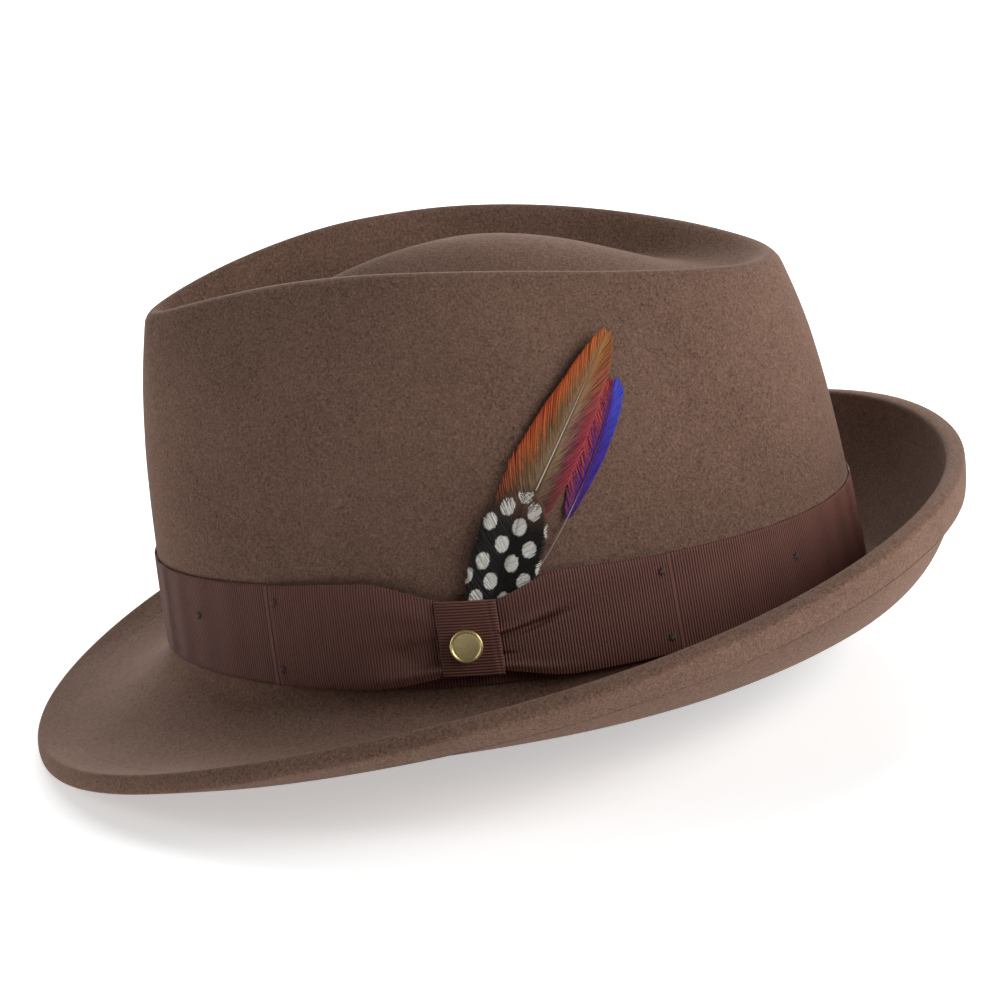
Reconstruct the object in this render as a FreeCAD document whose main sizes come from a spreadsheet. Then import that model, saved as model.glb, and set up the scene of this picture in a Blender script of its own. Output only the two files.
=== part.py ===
import FreeCAD, Part
import Sketcher
import math
import os

# A felt fedora with a welted brim, a grosgrain band and bow, a brass stud and a feather mount.
# Millimetres. +Z is up, the front of the hat looks along -Y and the bow is on the +X side.
# The origin is the middle of the head opening, on the plane where the crown turns into the brim.

os.makedirs("parts", exist_ok=True)
doc = FreeCAD.newDocument("fedora")
V = FreeCAD.Vector

# ---------------------------------------------------------------- sizes
SIZES = (
    # crown: outer oval at the brim break
    ("crown_half_width", 86.0), ("crown_half_length", 103.3), ("oval_egg", 0.025), ("base_wave", 1.0),
    # crown: the ridge round the top (a teardrop) and its height all round
    ("ridge_half_width", 45.5), ("ridge_taper", 0.31), ("ridge_waist", -0.095),
    ("ridge_shift", -4.5), ("ridge_half_length", 91.7),
    ("ridge_height", 103.5), ("ridge_pitch", 4.2), ("ridge_saddle", -6.8), ("ridge_swing", -1.3),
    # crown: swell of the wall and how straight it runs before the shoulder
    ("bulge_front", 1.4), ("bulge_rear", 1.1), ("shoulder_front", 0.5), ("shoulder_rear", 0.7),
    # crown: telescope crease inside the ridge
    ("moat_reach", 0.8), ("moat_height", 90.0), ("dome_height", 109.0), ("dome_power", 1.5),
    ("pole_reach", 0.05), ("ridge_inner_lift", 1.2),
    # brim: width along the felt, angle at the break and angle at the edge (degrees), by harmonics
    ("brim_width", 49.5), ("brim_width_one", 1.2), ("brim_width_two", -7.5), ("brim_width_three", 1.0),
    ("break_angle", -8.0), ("break_angle_one", -34.0), ("break_angle_two", 2.5), ("break_angle_three", -7.0),
    ("edge_angle", 48.5), ("edge_angle_one", -43.5), ("edge_angle_two", -1.5), ("edge_angle_three", -2.0),
    ("break_radius", 6.0), ("edge_round", 1.4),
    # felt
    ("felt_thickness", 2.6), ("welt_thickness", 5.6), ("welt_width", 9.0),
    # soft goods
    ("cloth_gap", 0.15), ("ribbon_thickness", 0.6), ("band_share", 0.2745), ("crown_nominal", 110.0),
    ("satin_thickness", 0.4), ("leather_thickness", 1.0), ("thread_size", 0.5),
    ("sweatband_low", -3.0), ("sweatband_high", 32.0), ("reed_size", 1.6), ("reed_drop", 0.3),
    ("lining_low", 20.0), ("lining_high", 81.0), ("tip_rise", 1.2), ("tip_height", 80.0),
    # bow
    ("knot_angle", 82.0), ("knot_middle", 14.2), ("knot_width", 16.6), ("knot_height", 20.4),
    ("wing_waist_thickness", 0.7), ("wing_waist_height", 18.4),
    ("wing_thickness", 1.5), ("wing_puff", 1.6), ("wing_height", 28.0), ("wing_middle", 15.6),
    ("front_wing_end", 47.5), ("rear_wing_end", 115.0),
    # stud
    ("stud_turn", 0.45), ("stud_drop", 1.7), ("stud_diameter", 9.2), ("stud_thickness", 1.5),
    ("stud_rim", 0.7), ("stud_recess", 0.35),
    ("rivet_post", 1.6), ("rivet_hole", 2.0), ("rivet_socket", 0.8), ("rivet_foot", 4.8),
    ("rivet_foot_thickness", 0.4),
    # feathers
    ("vane_thickness", 0.35), ("quill_size", 0.8), ("slide_gap", 0.3), ("binding_wall", 0.15),
    ("feather_flare", 2.2), ("violet_flare", 1.2), ("binding_middle", 11.8), ("binding_height", 3.5), ("binding_reach", 3.1),
    # small sewn details
    ("tack_length", 2.0), ("tack_width", 0.6), ("tack_height", 0.5),
    ("rear_bow_width", 26.0), ("rear_bow_height", 9.0), ("rear_bow_middle", 14.0),
    ("rear_bow_thickness", 1.6),
)
sheet = doc.addObject("Spreadsheet::Sheet", "sizes")
for row, (word, value) in enumerate(SIZES, start=1):
    sheet.set("A%d" % row, word)
    sheet.set("B%d" % row, str(value))
    sheet.setAlias("B%d" % row, word)
doc.recompute()


def size(word):
    """Give one size from the sheet."""
    return float(sheet.get(word))


TURN = 2.0 * math.pi
RING_POINTS = 48


# ---------------------------------------------------------------- crown surface
def ridge_z(th):
    """Height of the ridge above the break."""
    wave = size("ridge_saddle") * math.cos(2 * th) + size("ridge_swing") * math.cos(3 * th)
    return size("ridge_height") + size("ridge_pitch") * math.cos(th) + wave


def base_xy(th):
    """Outer oval at the break."""
    x = size("crown_half_width") * math.sin(th) * (1 - size("oval_egg") * math.cos(th))
    return x, -size("crown_half_length") * math.cos(th)


def ridge_xy(th, reach=1.0):
    """The ridge teardrop, shrunk towards its middle by reach."""
    taper = 1 - size("ridge_taper") * math.cos(th) + size("ridge_waist") * math.cos(2 * th)
    x = size("ridge_half_width") * math.sin(th) * taper
    return reach * x, size("ridge_shift") - reach * size("ridge_half_length") * math.cos(th)


def base_z(th):
    """Small rise and fall of the break."""
    return size("base_wave") * math.cos(2 * th)


def crown(th, v):
    """Outer felt: v from 0 (break) to 1 (ridge), then to 2 (middle of the tip)."""
    c = math.cos(th)
    if v <= 1.0:
        mix = size("shoulder_front") * (1 + c) / 2 + size("shoulder_rear") * (1 - c) / 2
        swell = size("bulge_front") * (1 + c) / 2 + size("bulge_rear") * (1 - c) / 2
        h = mix * v + (1 - mix) * abs(v) ** 5
        out = swell * math.sin(math.pi * v)
        bx, by = base_xy(th)
        rx, ry = ridge_xy(th)
        x = bx * (1 - h) + rx * h + out * math.sin(th)
        y = by * (1 - h) + ry * h - out * c
        return V(x, y, base_z(th) * (1 - v) + ridge_z(th) * v)
    reach = 2.0 - v
    moat = size("moat_reach")
    low = size("moat_height")
    if reach >= moat:
        rise = math.sin(0.5 * math.pi * (reach - moat) / (1 - moat)) ** 2
        z = low + (ridge_z(th) - low) * rise
    else:
        z = low + (size("dome_height") - low) * (1 - (reach / moat) ** 2) ** size("dome_power")
    x, y = ridge_xy(th, reach)
    return V(x, y, z)


def crown_off(th, v, out):
    """A point at a set distance outside the outer felt."""
    step = 0.002
    along = crown(th, v + step) - crown(th, v - step)
    round_ = crown(th + step, v) - crown(th - step, v)
    normal = round_.cross(along)
    normal.normalize()
    return crown(th, v) + normal * out


def share(height):
    """Wall parameter of a height above the break."""
    return height / size("crown_nominal")


def on_side(y, z, out):
    """The outer felt of the bow side at a given y and z, moved out."""
    v = share(z)
    th = math.acos(max(-1.0, min(1.0, -y / size("crown_half_length"))))
    for _ in range(6):
        p = crown(th, v)
        v += (z - p.z) / ridge_z(th)
        th += (y - p.y) / (size("crown_half_length") * max(0.3, math.sin(th)))
    return crown_off(th, v, out)


# ---------------------------------------------------------------- brim surface
def harmonics(th, word):
    """Sum of the cosine terms of one brim size."""
    words = (word, word + "_one", word + "_two", word + "_three")
    return sum(size(name) * math.cos(k * th) for k, name in enumerate(words))


def outward(th):
    """Level direction square to the outer oval."""
    step = 0.001
    ax, ay = base_xy(th + step)
    bx, by = base_xy(th - step)
    n = V(ay - by, bx - ax, 0)
    n.normalize()
    return n


def brim(th, s, depth, past=0.0):
    """Brim felt: s from 0 (end of the break curve) to 1 (edge), depth below the top face."""
    a0 = math.radians(harmonics(th, "break_angle"))
    a1 = math.radians(harmonics(th, "edge_angle"))
    width = harmonics(th, "brim_width")
    bend = a1 - a0
    a = a0 + bend * s
    if abs(bend) > 1e-4:
        r = width * (math.sin(a) - math.sin(a0)) / bend
        z = width * (math.cos(a0) - math.cos(a)) / bend
    else:
        r, z = width * s * math.cos(a0), width * s * math.sin(a0)
    rf = size("break_radius")
    r += rf * (1 + math.sin(a0)) + depth * math.sin(a) + past * math.cos(a)
    z += -rf * math.cos(a0) - depth * math.cos(a) + past * math.sin(a)
    x, y = base_xy(th)
    return V(x, y, base_z(th) + z) + outward(th) * r


def break_curve(th, part, depth):
    """Curve from the wall (part 0) to the brim (part 1), depth below the outer face."""
    a0 = math.radians(harmonics(th, "break_angle"))
    a = -0.5 * math.pi + part * (a0 + 0.5 * math.pi)
    rf = size("break_radius")
    x, y = base_xy(th)
    r = rf + (rf + depth) * math.sin(a)
    return V(x, y, base_z(th) - (rf + depth) * math.cos(a)) + outward(th) * r


def welt_start(th):
    """Brim parameter of the turned-under edge's inner rim."""
    return 1.0 - size("welt_width") / harmonics(th, "brim_width")


# ---------------------------------------------------------------- building helpers
def ring(point_at):
    """Points of a closed ring round the hat."""
    return [point_at(TURN * i / RING_POINTS) for i in range(RING_POINTS)]


def closed_wire(points):
    """A smooth closed wire through points."""
    curve = Part.BSplineCurve()
    curve.interpolate(Points=points, PeriodicFlag=True, Parameters=[float(k) for k in range(len(points) + 1)])
    return Part.Wire(curve.toShape())


def skin(rings):
    """One smooth face through rings."""
    return Part.makeLoft([closed_wire(points) for points in rings], False, False).Faces


def halfway(first, second):
    """Ring between two rings."""
    return [(a + b) * 0.5 for a, b in zip(first, second)]


def sewn(faces):
    """A solid from faces that meet edge to edge."""
    shell = Part.makeShell(faces)
    shell.sewShape()
    solid = Part.Solid(shell)
    if solid.Volume < 0:
        solid.reverse()
    return solid


def hoop(sides):
    """A closed hoop from the ring lists of its sides, each ending where the next starts."""
    faces = []
    for rings in sides:
        whole = rings if len(rings) > 2 else [rings[0], halfway(rings[0], rings[1]), rings[1]]
        faces += skin(whole)
    return sewn(faces)


def four_sided(rings):
    """A hoop from the four corner rings of its section."""
    return hoop([[rings[k], rings[(k + 1) % 4]] for k in range(4)])


def flattened(points):
    """Points moved onto the plane that fits them best."""
    middle = V(0, 0, 0)
    for p in points:
        middle += p
    middle = middle * (1.0 / len(points))
    normal = V(0, 0, 0)
    for a, b in zip(points, points[1:] + points[:1]):
        normal += (a - middle).cross(b - middle)
    normal.normalize()
    return [p - normal * (p - middle).dot(normal) for p in points]


def clamped(count):
    """Degree, knots and multiplicities of an even spline that starts and ends on its poles."""
    degree = min(3, count - 1)
    spans = count - degree
    inner = [1] * (spans - 1)
    return degree, [float(k) for k in range(spans + 1)], [degree + 1] + inner + [degree + 1]


def smooth_face(rows):
    """A smooth surface over rows of poles."""
    along, along_knots, along_mults = clamped(len(rows))
    across, across_knots, across_mults = clamped(len(rows[0]))
    surface = Part.BSplineSurface()
    surface.buildFromPolesMultsKnots(rows, along_mults, across_mults, along_knots, across_knots,
                                     False, False, along, across)
    return surface


def run(rings):
    """A solid through flat closed rings, capped at both ends."""
    flat = [flattened(points) for points in rings]
    half = len(flat[0]) // 2
    front = smooth_face([points[:half + 1] for points in flat])
    back = smooth_face([points[half:] + points[:1] for points in flat])
    faces = [front.toShape(), back.toShape()]
    for end in (0, 1):
        edges = []
        for surface in (front, back):
            first, last = surface.bounds()[:2]
            edges.append(surface.uIso(last if end else first).toShape())
        faces.append(Part.Face(Part.Wire(edges)))
    return sewn(faces)


def rounded(count, power):
    """Unit points of a rounded rectangle."""
    out = []
    for i in range(count):
        a = TURN * i / count
        c, s = math.cos(a), math.sin(a)
        out.append((math.copysign(abs(c) ** (2.0 / power), c), math.copysign(abs(s) ** (2.0 / power), s)))
    return out


def side_frame(angle, height, out):
    """Middle, outward and upward directions on the wall at an angle in degrees."""
    th = math.radians(angle)
    v = share(height)
    up = crown(th, v + 0.1) - crown(th, v - 0.1)
    up.normalize()
    along = crown(th + 0.01, v) - crown(th - 0.01, v)
    normal = along.cross(up)
    normal.normalize()
    return crown(th, v) + normal * out, normal, up


def side_placement(angle, height, out):
    """Placement with local Z outward and local Y up the wall."""
    middle, normal, up = side_frame(angle, height, out)
    x = up.cross(normal)
    return FreeCAD.Placement(FreeCAD.Matrix(x.x, up.x, normal.x, middle.x,
                                            x.y, up.y, normal.y, middle.y,
                                            x.z, up.z, normal.z, middle.z,
                                            0, 0, 0, 1))


def add_solid(name, shape):
    """Put one finished solid in the document."""
    item = doc.addObject("Part::Feature", name)
    item.Label = name
    item.Shape = shape
    return item


# ---------------------------------------------------------------- felt body
felt = size("felt_thickness")
welt = size("welt_thickness")
edge = size("edge_round")
pole = 2.0 - size("pole_reach")


def inner_ridge(th):
    """Inside of the fold along the ridge."""
    return (crown_off(th, 0.95, -felt) + crown_off(th, 1.06, -felt)) * 0.5 + V(0, 0, size("ridge_inner_lift"))


def inner_pole(th):
    """Level ring round the middle of the tip, inside."""
    return crown(th, pole) - V(0, 0, felt)


wall_steps = (0.0, 0.08, 0.18, 0.3, 0.42, 0.54, 0.66, 0.76, 0.84, 0.9, 0.95, 1.0)
tip_steps = (1.03, 1.06, 1.1, 1.14, 1.18, 1.23, 1.3, 1.4, 1.5, 1.62, 1.74, 1.85, pole)
outer_crown = [ring(lambda th, v=v: crown(th, v)) for v in wall_steps + tip_steps]
inner_steps_low = (0.0, 0.08, 0.18, 0.3, 0.42, 0.54, 0.66, 0.76, 0.84, 0.9)
inner_steps_high = (1.1, 1.14, 1.18, 1.23, 1.3, 1.4, 1.5, 1.62, 1.74, 1.85)
inner_start = ring(lambda th: break_curve(th, 0.0, felt))
inner_crown = [inner_start]
inner_crown += [ring(lambda th, v=v: crown_off(th, v, -felt)) for v in inner_steps_low[1:]]
inner_crown.append(ring(inner_ridge))
inner_crown += [ring(lambda th, v=v: crown_off(th, v, -felt)) for v in inner_steps_high]
inner_crown.append(ring(inner_pole))
outer_crown[0] = ring(lambda th: break_curve(th, 0.0, 0.0))

top_rings = [ring(lambda th, k=k: break_curve(th, k, 0.0)) for k in (0.0, 0.35, 0.7)]
top_rings += [ring(lambda th, k=k: brim(th, k, 0.0)) for k in (0.0, 0.12, 0.3, 0.5, 0.7, 0.87, 1.0)]
turn = [(0.0, 0.0), (0.12, 0.6), (0.3, 0.9), (0.5, 1.0), (0.7, 0.9), (0.88, 0.6), (1.0, 0.0)]
edge_rings = [ring(lambda th, d=d, e=e: brim(th, 1.0, welt * d, edge * e)) for d, e in turn]
under_welt = [ring(lambda th, k=k: brim(th, 1 - k * (1 - welt_start(th)), welt)) for k in (0.0, 0.5, 1.0)]
step_rings = [ring(lambda th, d=d: brim(th, welt_start(th), d)) for d in (welt, 0.5 * (welt + felt), felt)]
under_rings = [ring(lambda th, k=k: brim(th, welt_start(th) * k, felt))
               for k in (1.0, 0.98, 0.94, 0.86, 0.72, 0.5, 0.25, 0.0)]
under_rings += [ring(lambda th, k=k: break_curve(th, k, felt)) for k in (0.7, 0.35, 0.0)]

felt_faces = []
for rings in (outer_crown, inner_crown, top_rings, edge_rings, under_welt, step_rings, under_rings):
    felt_faces += skin(rings)
felt_faces.append(Part.Face(closed_wire(outer_crown[-1])))
felt_faces.append(Part.Face(closed_wire(inner_crown[-1])))
add_solid("felt_body", sewn(felt_faces))

# ---------------------------------------------------------------- hoops on the crown
gap = size("cloth_gap")
ribbon = size("ribbon_thickness")
satin = size("satin_thickness")
leather = size("leather_thickness")


def wall_hoop(low, high, inner, outer, count=7):
    """A strip round the wall between two wall parameters and two offsets."""
    steps = [low + (high - low) * i / (count - 1) for i in range(count)]
    inside = [ring(lambda th, v=v: crown_off(th, v, inner)) for v in steps]
    outside = [ring(lambda th, v=v: crown_off(th, v, outer)) for v in reversed(steps)]
    return hoop([inside, [inside[-1], outside[0]], outside, [outside[-1], inside[0]]])


add_solid("hat_band", wall_hoop(0.008, size("band_share"), gap, gap + ribbon))
band_face = gap + ribbon

lining_out = -(felt + gap)
lining_in = lining_out - satin
leather_out = lining_in - gap
leather_in = leather_out - leather
add_solid("lining_side", wall_hoop(share(size("lining_low")), share(size("lining_high")), lining_in, lining_out))
add_solid("sweatband", wall_hoop(share(size("sweatband_low")), share(size("sweatband_high")),
                                 leather_in, leather_out))

reed = size("reed_size")
reed_top = share(size("sweatband_low") - size("reed_drop"))
reed_low = share(size("sweatband_low") - size("reed_drop") - reed)
add_solid("sweatband_reed", four_sided([
    ring(lambda th: crown_off(th, reed_low, leather_in)),
    ring(lambda th: crown_off(th, reed_low, leather_in + reed)),
    ring(lambda th: crown_off(th, reed_top, leather_in + reed)),
    ring(lambda th: crown_off(th, reed_top, leather_in)),
]))

thread = size("thread_size")
row_out = leather_in - gap
row_low = share(size("sweatband_low") + 1.5)
row_top = share(size("sweatband_low") + 1.5 + thread)
add_solid("sweatband_stitching", four_sided([
    ring(lambda th: crown_off(th, row_low, row_out - thread)),
    ring(lambda th: crown_off(th, row_low, row_out)),
    ring(lambda th: crown_off(th, row_top, row_out)),
    ring(lambda th: crown_off(th, row_top, row_out - thread)),
]))


def seam(th, back, depth):
    """Point beside the rim of the turned-under edge, a little way towards the crown."""
    return brim(th, welt_start(th) - back / harmonics(th, "brim_width"), felt + depth)


add_solid("welt_stitching", four_sided([
    ring(lambda th: seam(th, gap, gap)),
    ring(lambda th: seam(th, gap + thread, gap)),
    ring(lambda th: seam(th, gap + thread, gap + thread)),
    ring(lambda th: seam(th, gap, gap + thread)),
]))

# ---------------------------------------------------------------- lining tip
tip_share = share(size("lining_high") + size("tip_rise"))


def tip_point(th, reach, drop):
    """Point of the lining tip: its outline follows the wall, and its middle is level."""
    p = crown_off(th, tip_share, lining_out - gap)
    blend = max(0.0, reach - size("pole_reach")) / (1 - size("pole_reach"))
    blend = blend * blend
    z = size("tip_height") * (1 - blend) + p.z * blend
    return V(reach * p.x, size("ridge_shift") * (1 - reach) + reach * p.y, z - drop)


tip_reaches = (size("pole_reach"), 0.3, 0.6, 0.85, 1.0)
tip_top = [ring(lambda th, k=k: tip_point(th, k, 0.0)) for k in tip_reaches]
tip_under = [ring(lambda th, k=k: tip_point(th, k, satin)) for k in tip_reaches]
tip_faces = skin(tip_top) + skin(tip_under)
tip_faces += skin([tip_top[-1], halfway(tip_top[-1], tip_under[-1]), tip_under[-1]])
tip_faces += [Part.Face(closed_wire(flattened(points))) for points in (tip_top[0], tip_under[0])]
add_solid("lining_tip", sewn(tip_faces))

# ---------------------------------------------------------------- bow
slide_gap = size("slide_gap")
binding_back = band_face + slide_gap
quill_back = binding_back + size("binding_wall")
guinea_back = quill_back + size("quill_size") + gap
binding_front = guinea_back + size("vane_thickness") + size("binding_wall")
knot_back = binding_front + slide_gap
waist_back = knot_back + ribbon + gap
waist_front = waist_back + size("wing_waist_thickness")
foot_back = waist_front + gap
foot_front = foot_back + size("rivet_foot_thickness")
front_back = foot_front + 1.6 * gap
knot_front = front_back + ribbon
stud_back = knot_front + gap
mm_per_degree = math.radians(size("crown_half_length"))
knot_half = 0.5 * size("knot_width") / mm_per_degree


def wing_ring(angle, low_out, high_out, height, middle):
    """Section of a bow wing at one angle round the crown."""
    centre, normal, up = side_frame(angle, middle, 0.5 * (low_out + high_out))
    half = 0.5 * (high_out - low_out)
    return [centre + normal * (half * a) + up * (0.5 * height * b) for a, b in rounded(28, 3.4)]


def wing(start, end):
    """One wing of the bow from its waist under the knot to its sewn end."""
    lay = band_face + 2 * gap
    waist = size("wing_waist_height")
    full = size("wing_height")
    thin = size("wing_thickness")
    sections = []
    for k in (0.0, 0.1, 0.2, 0.32, 0.46, 0.62, 0.8, 1.0):
        open_ = min(1.0, max(0.0, (k - 0.16) / 0.5))
        ease = open_ * open_ * (3 - 2 * open_)
        low = waist_back + (lay - waist_back) * ease
        swell = size("wing_puff") * math.sin(math.pi * min(1.0, max(0.0, (k - 0.16) / 0.84))) ** 2
        thick = size("wing_waist_thickness") + (thin - size("wing_waist_thickness")) * ease + swell * 0.6
        height = waist + (full - waist) * ease
        middle = size("knot_middle") + (size("wing_middle") - size("knot_middle")) * ease
        sections.append(wing_ring(start + (end - start) * k, low, low + thick, height, middle))
    return run(sections)


half_gap = gap / mm_per_degree
knot_at = size("knot_angle")
add_solid("bow_front_wing", wing(knot_at - half_gap, size("front_wing_end")))
add_solid("bow_rear_wing", wing(knot_at + half_gap, size("rear_wing_end")))


def block(low_out, high_out, middle, height, reach):
    """Rounded block on the wall, centred on the knot's angle."""
    sections = []
    for k in (-1.0, -0.33, 0.33, 1.0):
        centre, normal, up = side_frame(knot_at + k * reach, middle, 0.5 * (low_out + high_out))
        half = 0.5 * (high_out - low_out)
        sections.append([centre + normal * (half * a) + up * (0.5 * height * b) for a, b in rounded(28, 5.0)])
    return run(sections)


stud_place = side_placement(knot_at - size("stud_turn"), size("knot_middle") - size("stud_drop"), 0.0)
hole = Part.makeCylinder(0.5 * size("rivet_hole"), 4.0, V(0, 0, foot_front - 0.5), V(0, 0, 1))
hole.Placement = stud_place
knot_mid = size("knot_middle")
knot_tall = size("knot_height")
knot = block(knot_back, knot_front, knot_mid, knot_tall, knot_half)
knot = knot.cut(block(knot_back + ribbon, front_back, knot_mid, knot_tall - 2 * ribbon, 1.2 * knot_half))
knot = knot.cut(hole)
add_solid("bow_knot", knot.Solids[0])

# ---------------------------------------------------------------- stud and rivet
def body_turned(name, corners):
    """A turned body: corners are pairs of sheet expressions for radius and height."""
    body = doc.addObject("PartDesign::Body", name)
    body.Label = name
    sketch = body.newObject("Sketcher::SketchObject", name + "_profile")
    plane = [item for item in body.Origin.OriginFeatures if item.Role == "XZ_Plane"][0]
    sketch.AttachmentSupport = [(plane, "")]
    sketch.MapMode = "FlatFace"
    count = len(corners)
    for k in range(count):
        start, end = V(1 + k, k % 3, 0), V(2 + k, (k + 1) % 3, 0)
        sketch.addGeometry(Part.LineSegment(start, end), False)
    for k in range(count):
        sketch.addConstraint(Sketcher.Constraint("Coincident", k, 2, (k + 1) % count, 1))
    for k, (radius, height) in enumerate(corners):
        for kind, rule in (("DistanceX", radius), ("DistanceY", height)):
            if rule == "0":
                sketch.addConstraint(Sketcher.Constraint("PointOnObject", k, 1, -2 if kind == "DistanceX" else -1))
            else:
                at = sketch.addConstraint(Sketcher.Constraint(kind, -1, 1, k, 1, 1.0 + k))
                sketch.setExpression("Constraints[%d]" % at, rule)
    turned = body.newObject("PartDesign::Revolution", name + "_turned")
    turned.Profile = sketch
    turned.ReferenceAxis = (sketch, ["V_Axis"])
    turned.Angle = 360
    body.Tip = turned
    return body


stud = body_turned("stud_cap", (
    ("0", "sizes.rivet_socket"),
    ("sizes.rivet_hole / 2", "sizes.rivet_socket"),
    ("sizes.rivet_hole / 2", "0"),
    ("sizes.stud_diameter / 2", "0"),
    ("sizes.stud_diameter / 2", "sizes.stud_thickness"),
    ("sizes.stud_diameter / 2 - sizes.stud_rim", "sizes.stud_thickness"),
    ("sizes.stud_diameter / 2 - sizes.stud_rim", "sizes.stud_thickness - sizes.stud_recess"),
    ("0", "sizes.stud_thickness - sizes.stud_recess"),
))
doc.recompute()
stud.Placement = stud_place.multiply(FreeCAD.Placement(V(0, 0, stud_back), FreeCAD.Rotation()))

rivet = body_turned("stud_rivet", (
    ("0", "0"),
    ("sizes.rivet_foot / 2", "0"),
    ("sizes.rivet_foot / 2", "sizes.rivet_foot_thickness"),
    ("sizes.rivet_post / 2", "sizes.rivet_foot_thickness"),
    ("sizes.rivet_post / 2",
     "sizes.rivet_foot_thickness + sizes.ribbon_thickness + sizes.cloth_gap + sizes.rivet_socket"),
    ("0", "sizes.rivet_foot_thickness + sizes.ribbon_thickness + sizes.cloth_gap + sizes.rivet_socket"),
))
doc.recompute()
rivet.Placement = stud_place.multiply(FreeCAD.Placement(V(0, 0, foot_back), FreeCAD.Rotation()))

# ---------------------------------------------------------------- feathers


def along_line(stops, z):
    """Value at z on the smooth curve through three (z, value) stops."""
    (z0, a), (z1, b), (z2, c) = stops
    first = a * (z - z1) * (z - z2) / ((z0 - z1) * (z0 - z2))
    second = b * (z - z0) * (z - z2) / ((z1 - z0) * (z1 - z2))
    return first + second + c * (z - z0) * (z - z1) / ((z2 - z0) * (z2 - z1))


def feather(path, widths, low_out, high_out, quill_top, flare):
    """A flat feather up the crown: path stops and widths to each side are given by height."""
    sections = []
    top = widths[-1][0]
    for z, front_width, rear_width in widths:
        half_width, shift = 0.5 * (front_width + rear_width), 0.5 * (rear_width - front_width)
        y = along_line(path, z)
        slope = along_line(path, z + 0.5) - along_line(path, z - 0.5)
        length = math.hypot(1.0, slope)
        across_y, across_z = 1.0 / length, -slope / length
        rise = min(1.0, max(0.0, (z - quill_top) / 8.0))
        base = low_out + (high_out - low_out) * rise
        base += size(flare) * max(0.0, (z - quill_top) / (top - quill_top)) ** 2
        half = 0.5 * size("vane_thickness")
        if half_width <= 0.5 * size("quill_size") and z < quill_top:
            half = half_width
        sections.append([on_side(y + (shift + half_width * a) * across_y, z + (shift + half_width * a) * across_z,
                                 base + half * b) for a, b in rounded(24, 3.0)])
    return run(sections)


quill_half = 0.5 * size("quill_size")
vane_half = 0.5 * size("vane_thickness")
quill_mid = quill_back + quill_half
amber_path = ((13.0, -16.5), (50.0, 7.3), (89.5, 33.0))
amber_widths = ((9.0, quill_half, quill_half), (16.0, quill_half, quill_half), (24.0, quill_half, quill_half),
                (32.0, quill_half, quill_half), (36.0, 1.6, 1.2), (40.0, 5.2, 2.8), (44.0, 8.2, 4.6),
                (49.0, 9.4, 6.4), (56.0, 9.6, 7.2), (64.0, 8.2, 7.0), (72.0, 6.4, 6.2), (80.0, 4.8, 5.2),
                (86.0, 2.8, 3.4), (89.0, 1.0, 1.0))
amber = feather(amber_path, amber_widths, quill_mid, quill_back + 0.5 + vane_half, 33.0, "feather_flare")
violet_path = ((10.0, -13.0), (41.7, 15.0), (76.0, 33.0))
violet_widths = ((9.0, quill_half, quill_half), (15.0, quill_half, quill_half), (22.0, quill_half, quill_half),
                 (30.0, quill_half, quill_half), (38.0, quill_half, quill_half), (43.0, 1.4, 1.0),
                 (49.0, 3.6, 1.9), (56.0, 5.0, 2.8), (64.0, 5.2, 3.4), (70.0, 4.4, 3.7), (74.5, 3.0, 3.2),
                 (77.0, 1.0, 1.2))
violet = feather(violet_path, violet_widths, quill_mid, gap + vane_half + 0.3, 39.0, "violet_flare")
guinea_path = ((9.0, -13.0), (26.0, -5.6), (51.0, 5.0))
guinea_widths = ((8.5, 1.6, 1.6), (11.0, 3.4, 3.4), (16.0, 6.2, 6.0), (24.0, 8.6, 8.2), (33.0, 9.6, 9.2),
                 (40.0, 9.2, 9.0), (45.0, 7.8, 8.0), (49.0, 5.4, 6.0), (51.5, 2.6, 3.0))
guinea_mid = guinea_back + vane_half
guinea = feather(guinea_path, guinea_widths, guinea_mid, guinea_mid + 0.3, 26.0, "feather_flare")
add_solid("feather_guinea", guinea)
add_solid("feather_amber", amber)
add_solid("feather_violet", violet)
binding = block(binding_back, binding_front, size("binding_middle"), size("binding_height"),
                size("binding_reach"))
for quill in (guinea, amber, violet):
    binding = binding.cut(quill)
add_solid("feather_binding", binding.Solids[0])

# ---------------------------------------------------------------- thread tacks and inside bow
band_spots = ((28.7, 18.0), (140.5, 18.0), (219.5, 18.0), (331.3, 18.0))
wing_out = band_face + 2 * gap + size("wing_thickness") + 2 * gap
wing_low = size("wing_middle") - 0.34 * size("wing_height")
wing_high = size("wing_middle") + 0.34 * size("wing_height")
front_row = size("front_wing_end") + 2.2
rear_row = size("rear_wing_end") - 2.2
spots = [(angle, height, band_face + gap) for angle, height in band_spots]
spots += [(angle, height, wing_out) for angle in (front_row, rear_row) for height in (wing_low, wing_high)]
tacks = []
for angle, height, out in spots:
    long_, wide, tall = size("tack_length"), size("tack_width"), size("tack_height")
    level = Part.makeBox(long_, wide, tall, V(-long_ / 2, -wide / 2, 0))
    cross = level.fuse(Part.makeBox(wide, long_, tall, V(-wide / 2, -long_ / 2, 0))).removeSplitter()
    cross.Placement = side_placement(angle, height, out)
    tacks.append(cross.Solids[0])
add_solid("thread_tacks", Part.makeCompound(tacks))

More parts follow.
